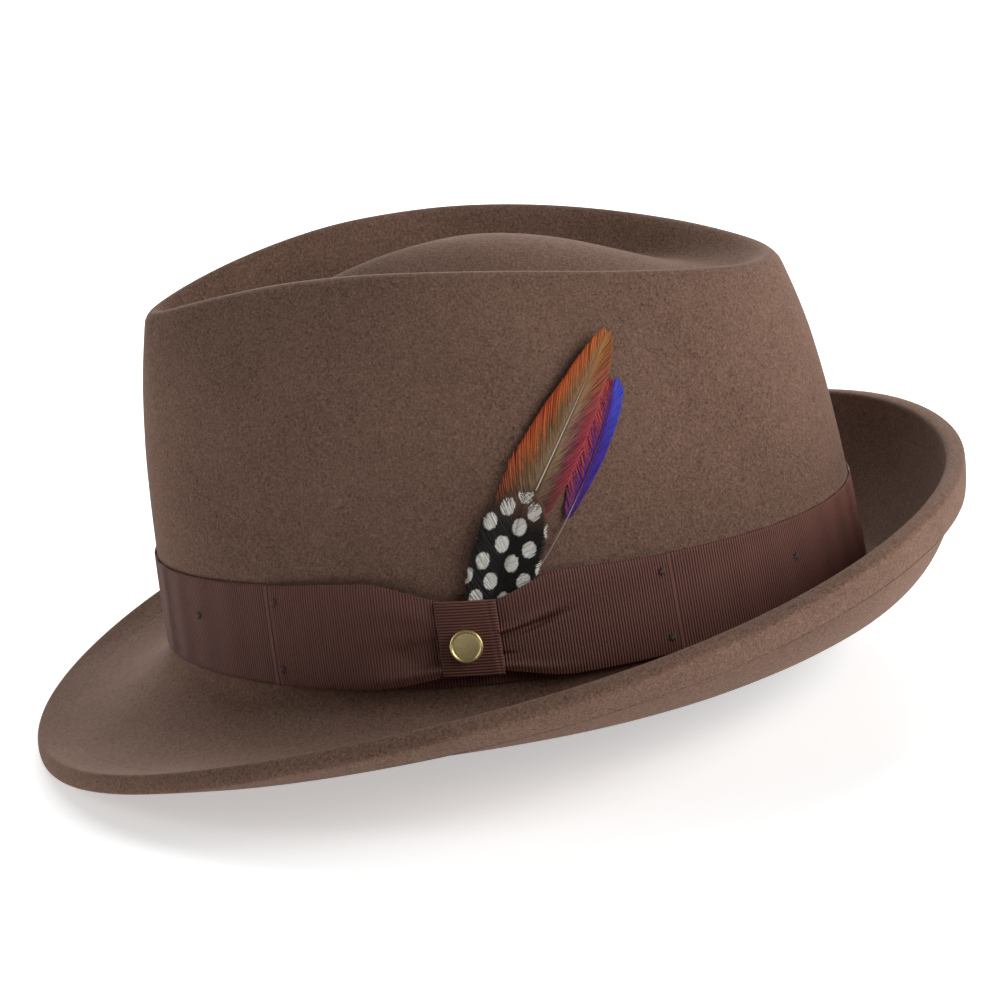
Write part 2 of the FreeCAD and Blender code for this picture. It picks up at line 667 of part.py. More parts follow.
rear_out = leather_in - gap
rear_reach = 0.5 * size("rear_bow_width") / math.radians(1.0) / size("crown_half_width")
rear_sections = []
for k in (-1.0, -0.75, -0.45, -0.15, 0.0, 0.15, 0.45, 0.75, 1.0):
    pinch = min(1.0, abs(k) / 0.5)
    height = size("rear_bow_height") * (0.45 + 0.55 * pinch)
    thick = size("rear_bow_thickness") * (1.0 - 0.25 * pinch)
    centre, normal, up = side_frame(180.0 + k * rear_reach, size("rear_bow_middle"), rear_out - 0.5 * thick)
    rear_sections.append([centre + normal * (0.5 * thick * a) + up * (0.5 * height * b)
                          for a, b in rounded(24, 4.0)])
add_solid("sweatband_bow", run(rear_sections))

# ---------------------------------------------------------------- check and write
doc.recompute()
for item in doc.Objects:
    if "Invalid" in item.State or "Error" in item.State:
        raise RuntimeError("%s is %s" % (item.Label, item.State))
NODES = ("felt_body", "hat_band", "bow_front_wing", "bow_rear_wing", "bow_knot", "stud_cap", "stud_rivet",
         "feather_guinea", "feather_amber", "feather_violet", "feather_binding", "thread_tacks",
         "welt_stitching", "sweatband", "sweatband_reed", "sweatband_stitching", "sweatband_bow",
         "lining_side", "lining_tip")
for name in NODES:
    item = doc.getObject(name)
    shape = item.Shape
    if shape.isNull() or not shape.isValid() or shape.Volume <= 0:
        raise RuntimeError("bad shape in " + name)
    shape.exportStep("parts/" + name + ".step")
    box = shape.BoundBox
    print("%-20s solids %d volume %9.1f  x %7.2f %7.2f  y %7.2f %7.2f  z %7.2f %7.2f" % (
        name, len(shape.Solids), shape.Volume, box.XMin, box.XMax, box.YMin, box.YMax, box.ZMin, box.ZMax))
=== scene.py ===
"""A brown felt fedora with a grosgrain band and bow, a brass stud and a mount of three feathers."""
import logging
import math
from dataclasses import dataclass
from enum import Enum

import bpy
import numpy as np
from mathutils import Matrix, Vector


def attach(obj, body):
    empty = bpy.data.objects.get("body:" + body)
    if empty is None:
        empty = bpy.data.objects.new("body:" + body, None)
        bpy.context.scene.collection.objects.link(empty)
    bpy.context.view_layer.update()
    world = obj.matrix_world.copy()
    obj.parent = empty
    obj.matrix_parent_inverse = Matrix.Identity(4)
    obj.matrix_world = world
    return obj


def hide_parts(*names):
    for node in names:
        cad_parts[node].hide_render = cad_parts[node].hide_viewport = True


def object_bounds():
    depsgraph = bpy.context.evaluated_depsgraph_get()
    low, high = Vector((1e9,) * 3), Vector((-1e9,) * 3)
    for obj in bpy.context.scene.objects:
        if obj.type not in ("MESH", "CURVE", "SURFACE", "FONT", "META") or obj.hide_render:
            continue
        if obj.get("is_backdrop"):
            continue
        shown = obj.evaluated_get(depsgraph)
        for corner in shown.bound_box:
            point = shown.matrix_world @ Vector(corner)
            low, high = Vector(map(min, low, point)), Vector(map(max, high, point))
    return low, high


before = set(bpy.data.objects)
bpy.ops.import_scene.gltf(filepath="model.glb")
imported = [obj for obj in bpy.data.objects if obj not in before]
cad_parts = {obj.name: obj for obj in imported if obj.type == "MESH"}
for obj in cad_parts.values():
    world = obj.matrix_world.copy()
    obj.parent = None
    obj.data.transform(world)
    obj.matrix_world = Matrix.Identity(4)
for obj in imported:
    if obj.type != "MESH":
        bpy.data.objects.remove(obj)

MM = 0.001
TURN = 2.0 * math.pi
Array = np.ndarray
log = logging.getLogger("fedora")
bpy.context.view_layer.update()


class Body(Enum):
    """The rigid bodies that pieces ride on."""

    HAT = "hat"
    FEATHERS = "feather_mount"


# ------------------------------------------------------------------ small numpy helpers
def smooth(x: Array) -> Array:
    """Ease from 0 to 1: 3x squared less 2x cubed, held at both ends."""
    x = np.clip(x, 0.0, 1.0)
    return x * x * (3.0 - 2.0 * x)


def unit(vectors: Array) -> Array:
    """Vectors scaled to length 1."""
    return vectors / np.maximum(np.linalg.norm(vectors, axis=-1, keepdims=True), 1e-9)


def joined(*parts: Array) -> Array:
    """Arrays end to end along their first axis."""
    return np.concatenate(parts, axis=0)


# ------------------------------------------------------------------ forms shared by the pieces
@dataclass(frozen=True)
class Crown:
    """Outer felt of the crown in millimetres, as a function of angle th and parameter v.

    v runs from 0 at the brim to 1 at the ridge, and on to 2 at the middle of the tip.
    """

    half_width: float = 86.0
    half_length: float = 103.3
    egg: float = 0.025
    base_wave: float = 1.0
    ridge_half_width: float = 45.5
    ridge_taper: float = 0.31
    ridge_waist: float = -0.095
    ridge_shift: float = -4.5
    ridge_half_length: float = 91.7
    ridge_heights: tuple[float, float, float, float] = (103.5, 4.2, -6.8, -1.3)
    bulges: tuple[float, float] = (1.4, 1.1)
    shoulders: tuple[float, float] = (0.5, 0.7)
    moat_reach: float = 0.8
    moat_height: float = 90.0
    dome_height: float = 109.0
    dome_power: float = 1.5
    nominal: float = 110.0
    softness: float = 0.055

    def base_xy(self, th: Array) -> tuple[Array, Array]:
        """Outer oval at the brim."""
        x = self.half_width * np.sin(th) * (1.0 - self.egg * np.cos(th))
        return x, -self.half_length * np.cos(th)

    def base_z(self, th: Array) -> Array:
        """Rise and fall of the brim break."""
        return self.base_wave * np.cos(2.0 * th)

    def ridge_xy(self, th: Array, reach: Array) -> tuple[Array, Array]:
        """Teardrop of the ridge, shrunk to its middle by reach.

        Args:
            th: angle round the hat, 0 at the front.
            reach: share of the way from the middle to the ridge.

        Returns:
            Its x and y, in millimetres.
        """
        taper = 1.0 - self.ridge_taper * np.cos(th) + self.ridge_waist * np.cos(2.0 * th)
        x = self.ridge_half_width * np.sin(th) * taper
        return reach * x, self.ridge_shift - reach * self.ridge_half_length * np.cos(th)

    def ridge_z(self, th: Array) -> Array:
        """Height of the ridge: four cosine terms."""
        return sum(h * np.cos(k * th) for k, h in enumerate(self.ridge_heights))

    def point(self, th: Array, v: Array) -> Array:
        """Surface point with a soft ridge: the mean of five nearby points, spread most at v 1.

        Args:
            th: angle round the hat, 0 at the front.
            v: parameter up the crown.

        Returns:
            Points, one for each pair of th and v.
        """
        th, v = np.broadcast_arrays(np.asarray(th, float), np.asarray(v, float))
        spread = self.softness * np.exp(-(((v - 1.0) / 0.06) ** 2))
        taps = ((-1.0, 0.12), (-0.5, 0.23), (0.0, 0.30), (0.5, 0.23), (1.0, 0.12))
        mean = sum(weight * self.sharp(th, v + tap * spread) for tap, weight in taps)
        lift = 0.9 * np.exp(-(((v - 1.0) / 0.05) ** 2))
        return mean + lift[..., None] * np.array([0.0, 0.0, 1.0])

    def sharp(self, th: Array, v: Array) -> Array:
        """Surface point: base oval blended into the ridge below v 1, crease and dome above it.

        Args:
            th: angle round the hat, 0 at the front.
            v: parameter up the crown.

        Returns:
            Points, one for each pair of th and v.
        """
        th, v = np.broadcast_arrays(np.asarray(th, float), np.asarray(v, float))
        c = np.cos(th)
        front, rear = 0.5 * (1.0 + c), 0.5 * (1.0 - c)
        low = np.minimum(v, 1.0)
        mix = self.shoulders[0] * front + self.shoulders[1] * rear
        h = mix * low + (1.0 - mix) * np.abs(low) ** 5
        out = (self.bulges[0] * front + self.bulges[1] * rear) * np.sin(math.pi * low)
        out = out - self.dents(th, low)
        bx, by = self.base_xy(th)
        rx, ry = self.ridge_xy(th, 1.0)
        wall = np.stack([bx * (1 - h) + rx * h + out * np.sin(th), by * (1 - h) + ry * h - out * c,
                         self.base_z(th) * (1 - low) + self.ridge_z(th) * low], -1)
        reach = np.clip(2.0 - v, 0.0, 1.0)
        climb = np.sin(0.5 * math.pi * np.clip((reach - self.moat_reach) / (1 - self.moat_reach), 0, 1)) ** 2
        dome = np.clip(1.0 - (reach / self.moat_reach) ** 2, 0, 1) ** self.dome_power
        z = self.moat_height + (self.ridge_z(th) - self.moat_height) * climb
        z = z + (self.dome_height - self.moat_height) * dome
        tx, ty = self.ridge_xy(th, reach)
        tip = np.stack([tx, ty, z], -1)
        return np.where((v > 1.0)[..., None], tip, wall)

    def dents(self, th: Array, v: Array) -> Array:
        """Depth of the two soft pinches that run up the front sides of the crown.

        Args:
            th: angle round the hat, 0 at the front.
            v: parameter up the crown.

        Returns:
            Depth of the dents, in millimetres.
        """
        degrees = np.degrees(np.abs((th + math.pi) % TURN - math.pi))
        middle = 62.0 + 30.0 * (v - 0.33)
        depth = 1.7 * np.exp(-(((degrees - middle) / 15.0) ** 2))
        return depth * smooth((v - 0.30) / 0.3) * smooth((1.0 - v) / 0.22)

    def off(self, th: Array, v: Array, out: Array) -> Array:
        """Point moved out from the felt along its normal.

        Args:
            th: angle round the hat, 0 at the front.
            v: parameter up the crown.
            out: distance outward from the felt's face, in millimetres.

        Returns:
            Points off the wall.
        """
        step = 0.002
        th, v = np.broadcast_arrays(np.asarray(th, float), np.asarray(v, float))
        along = self.point(th, v + step) - self.point(th, v - step)
        around = self.point(th + step, v) - self.point(th - step, v)
        return self.point(th, v) + unit(np.cross(around, along)) * np.asarray(out, float)[..., None]

    def share(self, height: float | Array) -> float | Array:
        """Parameter v of a height above the brim."""
        return height / self.nominal

    def side(self, y: Array, z: Array, out: Array) -> Array:
        """Point on the bow side at a given y and z, moved out; found by repeated correction.

        Args:
            y: place from front to back, in millimetres.
            z: height, in millimetres.
            out: distance outward from the felt's face, in millimetres.

        Returns:
            The point on the wearer's left.
        """
        y, z = np.broadcast_arrays(np.asarray(y, float), np.asarray(z, float))
        v = self.share(z)
        th = np.arccos(np.clip(-y / self.half_length, -1, 1))
        for _ in range(6):
            p = self.point(th, v)
            v = v + (z - p[..., 2]) / self.ridge_z(th)
            th = th + (y - p[..., 1]) / (self.half_length * np.maximum(0.3, np.sin(th)))
        return self.off(th, v, out)

    def frame_at(self, angle: Array, height: Array, out: Array) -> tuple[Array, Array, Array]:
        """Point, outward and upward directions on the wall.

        Args:
            angle: degrees round the hat.
            height: height above the brim.
            out: distance out from the felt.

        Returns:
            The point, the outward unit vector and the upward unit vector.
        """
        th, v = np.radians(angle), self.share(height)
        up = unit(self.point(th, v + 0.1) - self.point(th, v - 0.1))
        along = unit(self.point(th + 0.01, v) - self.point(th - 0.01, v))
        normal = unit(np.cross(along, up))
        return self.point(th, v) + normal * np.asarray(out, float)[..., None], normal, up


@dataclass(frozen=True)
class Brim:
    """Felt of the brim in millimetres, as a function of angle th and parameter s across it."""

    crown: Crown
    widths: tuple[float, float, float, float] = (49.5, 1.2, -7.5, 1.0)
    break_angles: tuple[float, float, float, float] = (-8.0, -34.0, 2.5, -7.0)
    edge_angles: tuple[float, float, float, float] = (48.5, -43.5, -1.5, -2.0)
    radius: float = 6.0
    welt_width: float = 9.0

    @staticmethod
    def waves(th: Array, terms: tuple[float, ...]) -> Array:
        """Sum of cosine terms.

        Args:
            th: angle round the hat, 0 at the front.
            terms: strengths of the waves, slowest first.

        Returns:
            Sum of the waves.
        """
        return sum(t * np.cos(k * th) for k, t in enumerate(terms))

    def outward(self, th: Array) -> Array:
        """Level direction square to the crown's oval."""
        step = 0.001
        ax, ay = self.crown.base_xy(th + step)
        bx, by = self.crown.base_xy(th - step)
        return unit(np.stack([ay - by, bx - ax, 0.0 * ax], -1))

    def place(self, th: Array, r: Array, z: Array) -> Array:
        """Point at distance r out from the oval and z above the break.

        Args:
            th: angle round the hat, 0 at the front.
            r: distance out from the oval, in millimetres.
            z: height, in millimetres.

        Returns:
            The points.
        """
        x, y = self.crown.base_xy(th)
        return np.stack([x, y, self.crown.base_z(th) + z], -1) + self.outward(th) * r[..., None]

    def point(self, th: Array, s: Array, depth: Array, past: Array = 0.0) -> Array:
        """Point of the brim: an arc whose angle turns evenly from the break to the edge.

        Args:
            th: angle round the hat.
            s: 0 at the inner end of the arc, 1 at the edge.
            depth: distance below the top face.
            past: distance beyond the edge, along the felt.

        Returns:
            Points in millimetres.
        """
        th, s, depth, past = np.broadcast_arrays(*(np.asarray(a, float) for a in (th, s, depth, past)))
        a0 = np.radians(self.waves(th, self.break_angles))
        bend = np.radians(self.waves(th, self.edge_angles)) - a0
        a, width = a0 + bend * s, self.waves(th, self.widths)
        r = width * (np.sin(a) - np.sin(a0)) / bend + self.radius * (1 + np.sin(a0))
        z = width * (np.cos(a0) - np.cos(a)) / bend - self.radius * np.cos(a0)
        r = r + depth * np.sin(a) + past * np.cos(a)
        z = z - depth * np.cos(a) + past * np.sin(a)
        return self.place(th, r, z)

    def bend(self, th: Array, part: Array, depth: Array) -> Array:
        """Point of the curve between wall (part 0) and brim (part 1).

        Args:
            th: angle round the hat, 0 at the front.
            part: share of the bend.
            depth: distance under the upper face, in millimetres.

        Returns:
            Points round the bend.
        """
        th, part = np.broadcast_arrays(np.asarray(th, float), np.asarray(part, float))
        a = -0.5 * math.pi + part * (np.radians(self.waves(th, self.break_angles)) + 0.5 * math.pi)
        full = self.radius + depth
        return self.place(th, self.radius + full * np.sin(a), -full * np.cos(a))

    def welt(self, th: Array) -> Array:
        """Parameter s of the inner rim of the turned-under edge."""
        return 1.0 - self.welt_width / self.waves(th, self.widths)


# ------------------------------------------------------------------ mesh building
def mesh_object(name: str, verts: Array, polys: list[Array], uvs: list[Array] | None = None) -> bpy.types.Object:
    """Make a smooth mesh object from arrays.

    Args:
        name: the piece's name.
        verts: points in millimetres, one row each.
        polys: arrays of corner indices, one array for each count of corners.
        uvs: texture places of the corners, in the same layout as polys.

    Returns:
        The new object, linked to the scene at the origin.
    """
    mesh = bpy.data.meshes.new(name)
    faces = [face for block in polys for face in block.tolist()]
    mesh.from_pydata((verts * MM).tolist(), [], faces)
    if uvs is not None:
        layer = mesh.uv_layers.new(name="UVMap")
        layer.data.foreach_set("uv", np.concatenate([u.reshape(-1) for u in uvs]).astype(np.float32))
    mesh.shade_smooth()
    mesh.update()
    obj = bpy.data.objects.new(name, mesh)
    bpy.context.scene.collection.objects.link(obj)
    return obj


def grid_arrays(points: Array, wrap_i: bool, wrap_j: bool, uv: Array | None = None, fans: bool = False,
                caps: bool = False) -> tuple[Array, list[Array], list[Array]]:
    """Corner arrays of a grid of points: quads between neighbours, and fans that close its ends.

    Args:
        points: grid of points, shape (ni, nj, 3).
        wrap_i: whether the last row joins the first.
        wrap_j: whether the last column joins the first.
        uv: texture places, one more row or column where the grid wraps.
        fans: close the first and last row to their middles.
        caps: close the first and last column to their middles.

    Returns:
        Points, corner index arrays, and texture places of the corners.
    """
    ni, nj = points.shape[:2]
    if uv is None:
        uv = np.stack(np.meshgrid(np.linspace(0, 1, ni + wrap_i), np.linspace(0, 1, nj + wrap_j),
                                  indexing="ij"), -1)
    i, j = np.meshgrid(np.arange(ni - 1 + wrap_i), np.arange(nj - 1 + wrap_j), indexing="ij")
    corners = [(i, j), (i + 1, j), (i + 1, j + 1), (i, j + 1)]
    quads = np.stack([(a % ni) * nj + b % nj for a, b in corners], -1).reshape(-1, 4)
    places = np.stack([uv[a, b] for a, b in corners], -2).reshape(-1, 4, 2)
    verts, polys, spots = [points.reshape(-1, 3)], [quads], [places]
    total = ni * nj
    rims = []
    if fans:
        ring = np.arange(nj)
        last = (ni - 1) * nj
        rims += [(ring, np.roll(ring, -1), uv[0, :nj]), (last + np.roll(ring, -1), last + ring, uv[-1, :nj])]
    if caps:
        line = np.arange(ni) * nj
        rims += [(np.roll(line, -1), line, uv[:ni, 0]), (line + nj - 1, np.roll(line, -1) + nj - 1, uv[:ni, -1])]
    for first, second, place in rims:
        middle = verts[0][first].mean(0)
        verts.append(middle[None])
        count = len(first)
        polys.append(np.stack([np.full(count, total), first, second], -1))
        spots.append(np.repeat(place[:, None, :], 3, 1))
        total += 1
    return np.concatenate(verts), polys, spots


def grid_object(name: str, points: Array, **options: object) -> bpy.types.Object:
    """Mesh object of one grid; the options are those of grid_arrays.

    Args:
        name: the piece's name.
        points: points of the grid, in millimetres.

    Returns:
        The new piece.
    """
    return mesh_object(name, *grid_arrays(points, **options))


def merged(parts: list[tuple[Array, list[Array], list[Array]]]) -> tuple[Array, list[Array], list[Array]]:
    """Several sets of grid arrays as one."""
    verts, polys, spots, start = [], [], [], 0
    for v, p, s in parts:
        verts.append(v)
        polys += [block + start for block in p]
        spots += s
        start += len(v)
    return np.concatenate(verts), polys, spots


def tube(path: Array, radius: Array, sides: int = 8, up: Array = np.array([0.0, 0.0, 1.0])) -> Array:
    """Grid of a tube: circles square to the path, shape (points, sides, 3).

    Args:
        path: points of the middle line, in millimetres.
        radius: half thickness, in millimetres.
        sides: number of corners of the section.
        up: direction that the section starts from.

    Returns:
        Grid arrays of the tube.
    """
    along = unit(np.gradient(path, axis=0))
    first = unit(np.cross(along, up))
    second = np.cross(along, first)
    a = np.linspace(0, TURN, sides, endpoint=False)
    ring = first[:, None] * np.cos(a)[:, None] + second[:, None] * np.sin(a)[:, None]
    return path[:, None] + ring * np.broadcast_to(radius, len(path))[:, None, None]


def stitches(starts: Array, ends: Array, outs: Array, thick: float) -> tuple[Array, list[Array], list[Array]]:
    """Arrays of many short threads, each a capsule that bows out between two points.

    Args:
        starts: first points, shape (n, 3).
        ends: last points.
        outs: directions in which each thread bows.
        thick: thread radius.

    Returns:
        Grid arrays of all the threads.
    """
    t = np.array([0.0, 0.08, 0.3, 0.5, 0.7, 0.92, 1.0])
    wide = np.array([0.25, 0.75, 1.0, 1.0, 1.0, 0.75, 0.25]) * thick
    rise = np.sin(math.pi * t) * thick
    a = np.linspace(0, TURN, 6, endpoint=False)
    along = unit(ends - starts)
    outs = unit(outs - along * (outs * along).sum(-1, keepdims=True))
    across = np.cross(along, outs)
    line = starts[:, None] + (ends - starts)[:, None] * t[:, None] + outs[:, None] * rise[:, None]
    ring = outs[:, None, None] * np.cos(a)[:, None] + across[:, None, None] * np.sin(a)[:, None]
    points = line[:, :, None] + ring * wide[:, None, None]
    base = grid_arrays(points[0], False, True, fans=True)
    count = len(base[0])
    tips = np.stack([points[:, 0].mean(1), points[:, -1].mean(1)], 1)
    verts = np.concatenate([points.reshape(len(points), -1, 3), tips], 1).reshape(-1, 3)
    shift = (np.arange(len(points)) * count)[:, None, None]
    polys = [(block[None] + shift).reshape(-1, block.shape[1]) for block in base[1]]
    spots = [np.tile(place, (len(points), 1, 1)) for place in base[2]]
    return verts, polys, spots


# ------------------------------------------------------------------ materials
class Nodes:
    """A material's node tree, with short calls to add and join nodes."""

    def __init__(self, name: str) -> None:
        """Start a material with one Principled shader."""
        self.material = bpy.data.materials.new(name)
        self.material.use_nodes = True
        self.tree = self.material.node_tree
        self.shader = self.tree.nodes["Principled BSDF"]

    def add(self, kind: str, settings: dict[str, object] | None = None, **inputs: object) -> bpy.types.Node:
        """Add a node; settings are its properties and inputs its sockets by name.

        Args:
            kind: type of the node.
            settings: plain settings of the node, or None.

        Returns:
            The new node.
        """
        return add_node(self.tree, kind, settings, **inputs)

    def set(self, **values: object) -> None:
        """Set or join the shader's sockets, by name with underscores for spaces."""
        for key, value in values.items():
            put(self.tree, self.shader.inputs[key.replace("_", " ")], value)

    def bump(self, height: object, strength: float, distance: float) -> bpy.types.NodeSocket:
        """Normal from a height.

        Args:
            height: height that shapes the light.
            strength: how much of it is used.
            distance: its size, in metres.

        Returns:
            The bent normal.
        """
        node = self.add("ShaderNodeBump", None, Strength=strength, Distance=distance, Height=height)
        return node.outputs["Normal"]


def put(tree: bpy.types.NodeTree, socket: bpy.types.NodeSocket, value: object) -> None:
    """Join an output socket to an input, or set the input's value.

    Args:
        tree: node tree that gets the nodes.
        socket: the socket to fill.
        value: a link or a constant.
    """
    if isinstance(value, bpy.types.NodeSocket):
        tree.links.new(value, socket)
    else:
        socket.default_value = value


def add_node(tree: bpy.types.NodeTree, kind: str, settings: dict[str, object] | None = None,
             **inputs: object) -> bpy.types.Node:
    """Add a node to a tree; inputs are socket names, or in_0, in_1 and so on for places.

    Args:
        tree: node tree that gets the nodes.
        kind: type of the node.
        settings: plain settings of the node, or None.

    Returns:
        The new node.
    """
    node = tree.nodes.new(kind)
    for key, value in (settings or {}).items():
        setattr(node, key, value)
    for key, value in inputs.items():
        if value is None:
            continue
        socket = node.inputs[int(key[3:])] if key.startswith("in_") else node.inputs[key.replace("_", " ")]
        put(tree, socket, value)
    return node


def math_node(tree: bpy.types.NodeTree, rule: str, *values: object, clamp: bool = False) -> bpy.types.NodeSocket:
    """Output of a Math node.

    Args:
        tree: node tree that gets the nodes.
        rule: the sum that the node does.
        values: links or constants, in the node's order.
        clamp: whether the result is held from 0 to 1.

    Returns:
        Its result.
    """
    inputs = {"in_%d" % k: value for k, value in enumerate(values)}
    return add_node(tree, "ShaderNodeMath", {"operation": rule, "use_clamp": clamp}, **inputs).outputs[0]


def mix_colour(tree: bpy.types.NodeTree, factor: object, first: object, second: object,
               blend: str = "MIX") -> bpy.types.NodeSocket:
    """Output of a colour mix.

    Args:
        tree: node tree that gets the nodes.
        factor: share of the second colour.
        first: colour at share 0.
        second: colour at share 1.
        blend: how the two are mixed.

    Returns:
        The mixed colour.
    """
    node = tree.nodes.new("ShaderNodeMix")
    node.data_type, node.blend_type = "RGBA", blend
    for index, value in ((0, factor), (6, first), (7, second)):
        put(tree, node.inputs[index], value)
    return node.outputs[2]


def colour(r: float, g: float, b: float) -> tuple[float, float, float, float]:
    """A linear colour with full alpha.

    Args:
        r: red.
        g: green.
        b: blue.

    Returns:
        The colour with full cover.
    """
    return (r, g, b, 1.0)


def ramp(tree: bpy.types.NodeTree, value: object, stops: list[tuple[float, tuple]]) -> bpy.types.NodeSocket:
    """Output of a colour ramp.

    Args:
        tree: node tree that gets the nodes.
        value: a link or a constant.
        stops: places and colours along the ramp.

    Returns:
        The colour at the value.
    """
    node = tree.nodes.new("ShaderNodeValToRGB")
    band = node.color_ramp
    while len(band.elements) < len(stops):
        band.elements.new(0.5)
    for element, (place, shade) in zip(band.elements, stops):
        element.position, element.color = place, shade
    put(tree, node.inputs[0], value)
    return node.outputs[0]


def new_group(name: str, takes: dict[str, tuple[str, object]], gives: dict[str, str]) -> bpy.types.NodeTree:
    """Empty node group with named inputs and outputs.

    Args:
        name: the group's name.
        takes: input names with their socket kind and default.
        gives: output names with their socket kind.

    Returns:
        The group's tree.
    """
    tree = bpy.data.node_groups.new(name, "ShaderNodeTree")
    for key, (kind, default) in takes.items():
        socket = tree.interface.new_socket(name=key, in_out="INPUT", socket_type=kind)
        if default is not None:
            socket.default_value = default
    for key, kind in gives.items():
        tree.interface.new_socket(name=key, in_out="OUTPUT", socket_type=kind)
    return tree


class Effects:
    """Shader groups that more than one finish uses."""

    def __init__(self) -> None:
        """Build each group once."""
        self.fibre = self.fibre_group()
        self.ribs = self.rib_group()
        self.barbs = self.barb_group()

    @staticmethod
    def fibre_group() -> bpy.types.NodeTree:
        """Felted fibre: fine specks, short curled hairs and broad clouds, as a height and a shade."""
        tree = new_group("felted_fibre", {"Vector": ("NodeSocketVector", None),
                                          "Fine": ("NodeSocketFloat", 1500.0),
                                          "Cloud": ("NodeSocketFloat", 30.0)},
                         {"Height": "NodeSocketFloat", "Shade": "NodeSocketFloat"})
        inlet, outlet = tree.nodes.new("NodeGroupInput"), tree.nodes.new("NodeGroupOutput")
        where, fine, cloud = (inlet.outputs[k] for k in ("Vector", "Fine", "Cloud"))
        specks = add_node(tree, "ShaderNodeTexNoise", None, Vector=where, Scale=fine, Detail=4.0,
                          Roughness=0.65, Distortion=0.6).outputs[0]
        half = math_node(tree, "MULTIPLY", fine, 0.28)
        hairs = add_node(tree, "ShaderNodeTexNoise", None, Vector=where, Scale=half, Detail=3.0,
                         Roughness=0.7, Distortion=2.4).outputs[0]
        clouds = add_node(tree, "ShaderNodeTexNoise", None, Vector=where, Scale=cloud, Detail=3.0,
                          Roughness=0.6).outputs[0]
        height = math_node(tree, "MULTIPLY_ADD", hairs, 0.6, math_node(tree, "MULTIPLY", specks, 0.5))
        mixed = math_node(tree, "MULTIPLY_ADD", specks, 1.05, math_node(tree, "MULTIPLY", hairs, 0.7))
        shade = math_node(tree, "MULTIPLY_ADD", clouds, 0.28, math_node(tree, "SUBTRACT", mixed, 0.515))
        tree.links.new(height, outlet.inputs["Height"])
        tree.links.new(shade, outlet.inputs["Shade"])
        return tree

    @staticmethod
    def rib_group() -> bpy.types.NodeTree:
        """Grosgrain: round ribs a set pitch apart along one texture axis, broken up a little."""
        tree = new_group("grosgrain_ribs", {"Along": ("NodeSocketFloat", 0.0), "Across": ("NodeSocketFloat", 0.0),
                                            "Pitch": ("NodeSocketFloat", 1.0)},
                         {"Height": "NodeSocketFloat", "Fleck": "NodeSocketFloat"})
        inlet, outlet = tree.nodes.new("NodeGroupInput"), tree.nodes.new("NodeGroupOutput")
        along, across, pitch = (inlet.outputs[k] for k in ("Along", "Across", "Pitch"))
        place = add_node(tree, "ShaderNodeCombineXYZ", None, X=along, Y=across)
        wander = add_node(tree, "ShaderNodeTexNoise", None, Vector=place.outputs[0], Scale=0.35,
                          Detail=1.0).outputs[0]
        shifted = math_node(tree, "MULTIPLY_ADD", wander, 0.25, along)
        turns = math_node(tree, "MULTIPLY", math_node(tree, "DIVIDE", shifted, pitch), TURN)
        wave = math_node(tree, "MULTIPLY_ADD", math_node(tree, "COSINE", turns), 0.5, 0.5)
        rounded = math_node(tree, "POWER", wave, 0.7)
        weft = add_node(tree, "ShaderNodeTexNoise", None, Vector=place.outputs[0], Scale=3.5, Detail=3.0,
                        Roughness=0.6).outputs[0]
        tree.links.new(math_node(tree, "MULTIPLY_ADD", weft, 0.25, rounded), outlet.inputs["Height"])
        tree.links.new(weft, outlet.inputs["Fleck"])
        return tree

    @staticmethod
    def barb_group() -> bpy.types.NodeTree:
        """Feather barbs: fine streaks along each barb, as a shade."""
        tree = new_group("feather_barbs", {"Vector": ("NodeSocketVector", None), "Scale": ("NodeSocketFloat", 60.0)},
                         {"Streak": "NodeSocketFloat"})
        inlet, outlet = tree.nodes.new("NodeGroupInput"), tree.nodes.new("NodeGroupOutput")
        streak = add_node(tree, "ShaderNodeTexNoise", None, Vector=inlet.outputs["Vector"],
                          Scale=inlet.outputs["Scale"], Detail=3.0, Roughness=0.7).outputs[0]
        strong = math_node(tree, "MULTIPLY_ADD", streak, 2.6, -0.8, clamp=True)
        tree.links.new(strong, outlet.inputs["Streak"])
        return tree


def group_node(nodes: Nodes, group: bpy.types.NodeTree, **inputs: object) -> bpy.types.Node:
    """Place a group in a material.

    Args:
        nodes: nodes of the material.
        group: the node group to place.

    Returns:
        The placed group.
    """
    node = nodes.tree.nodes.new("ShaderNodeGroup")
    node.node_tree = group
    for key, value in inputs.items():
        put(nodes.tree, node.inputs[key.replace("_", " ")], value)
    return node


def object_place(nodes: Nodes) -> bpy.types.NodeSocket:
    """The object's own coordinates."""
    return nodes.add("ShaderNodeTexCoord").outputs["Object"]


def uv_parts(nodes: Nodes) -> tuple[bpy.types.NodeSocket, bpy.types.NodeSocket]:
    """The two texture coordinates of a piece."""
    split = nodes.add("ShaderNodeSeparateXYZ", None, Vector=nodes.add("ShaderNodeTexCoord").outputs["UV"])
    return split.outputs[0], split.outputs[1]


@dataclass(frozen=True)
class FeltFinish:
    """Matt wool felt with a short nap."""

    dark: tuple[float, float, float, float] = colour(0.062, 0.032, 0.022)
    light: tuple[float, float, float, float] = colour(0.218, 0.131, 0.096)

    def material(self, effects: Effects) -> bpy.types.Material:
        """Build the material: specked colour, soft sheen and a fibre bump."""
        nodes = Nodes("felt")
        fibre = group_node(nodes, effects.fibre, Vector=object_place(nodes), Fine=1500.0, Cloud=26.0)
        shade = ramp(nodes.tree, fibre.outputs["Shade"], [(0.20, self.dark), (0.80, self.light)])
        nodes.set(Base_Color=shade, Roughness=0.95, Specular_IOR_Level=0.10, Sheen_Weight=0.12,
                  Sheen_Roughness=0.5, Sheen_Tint=colour(1.0, 0.72, 0.58),
                  Normal=nodes.bump(fibre.outputs["Height"], 0.4, 0.0005))
        return nodes.material


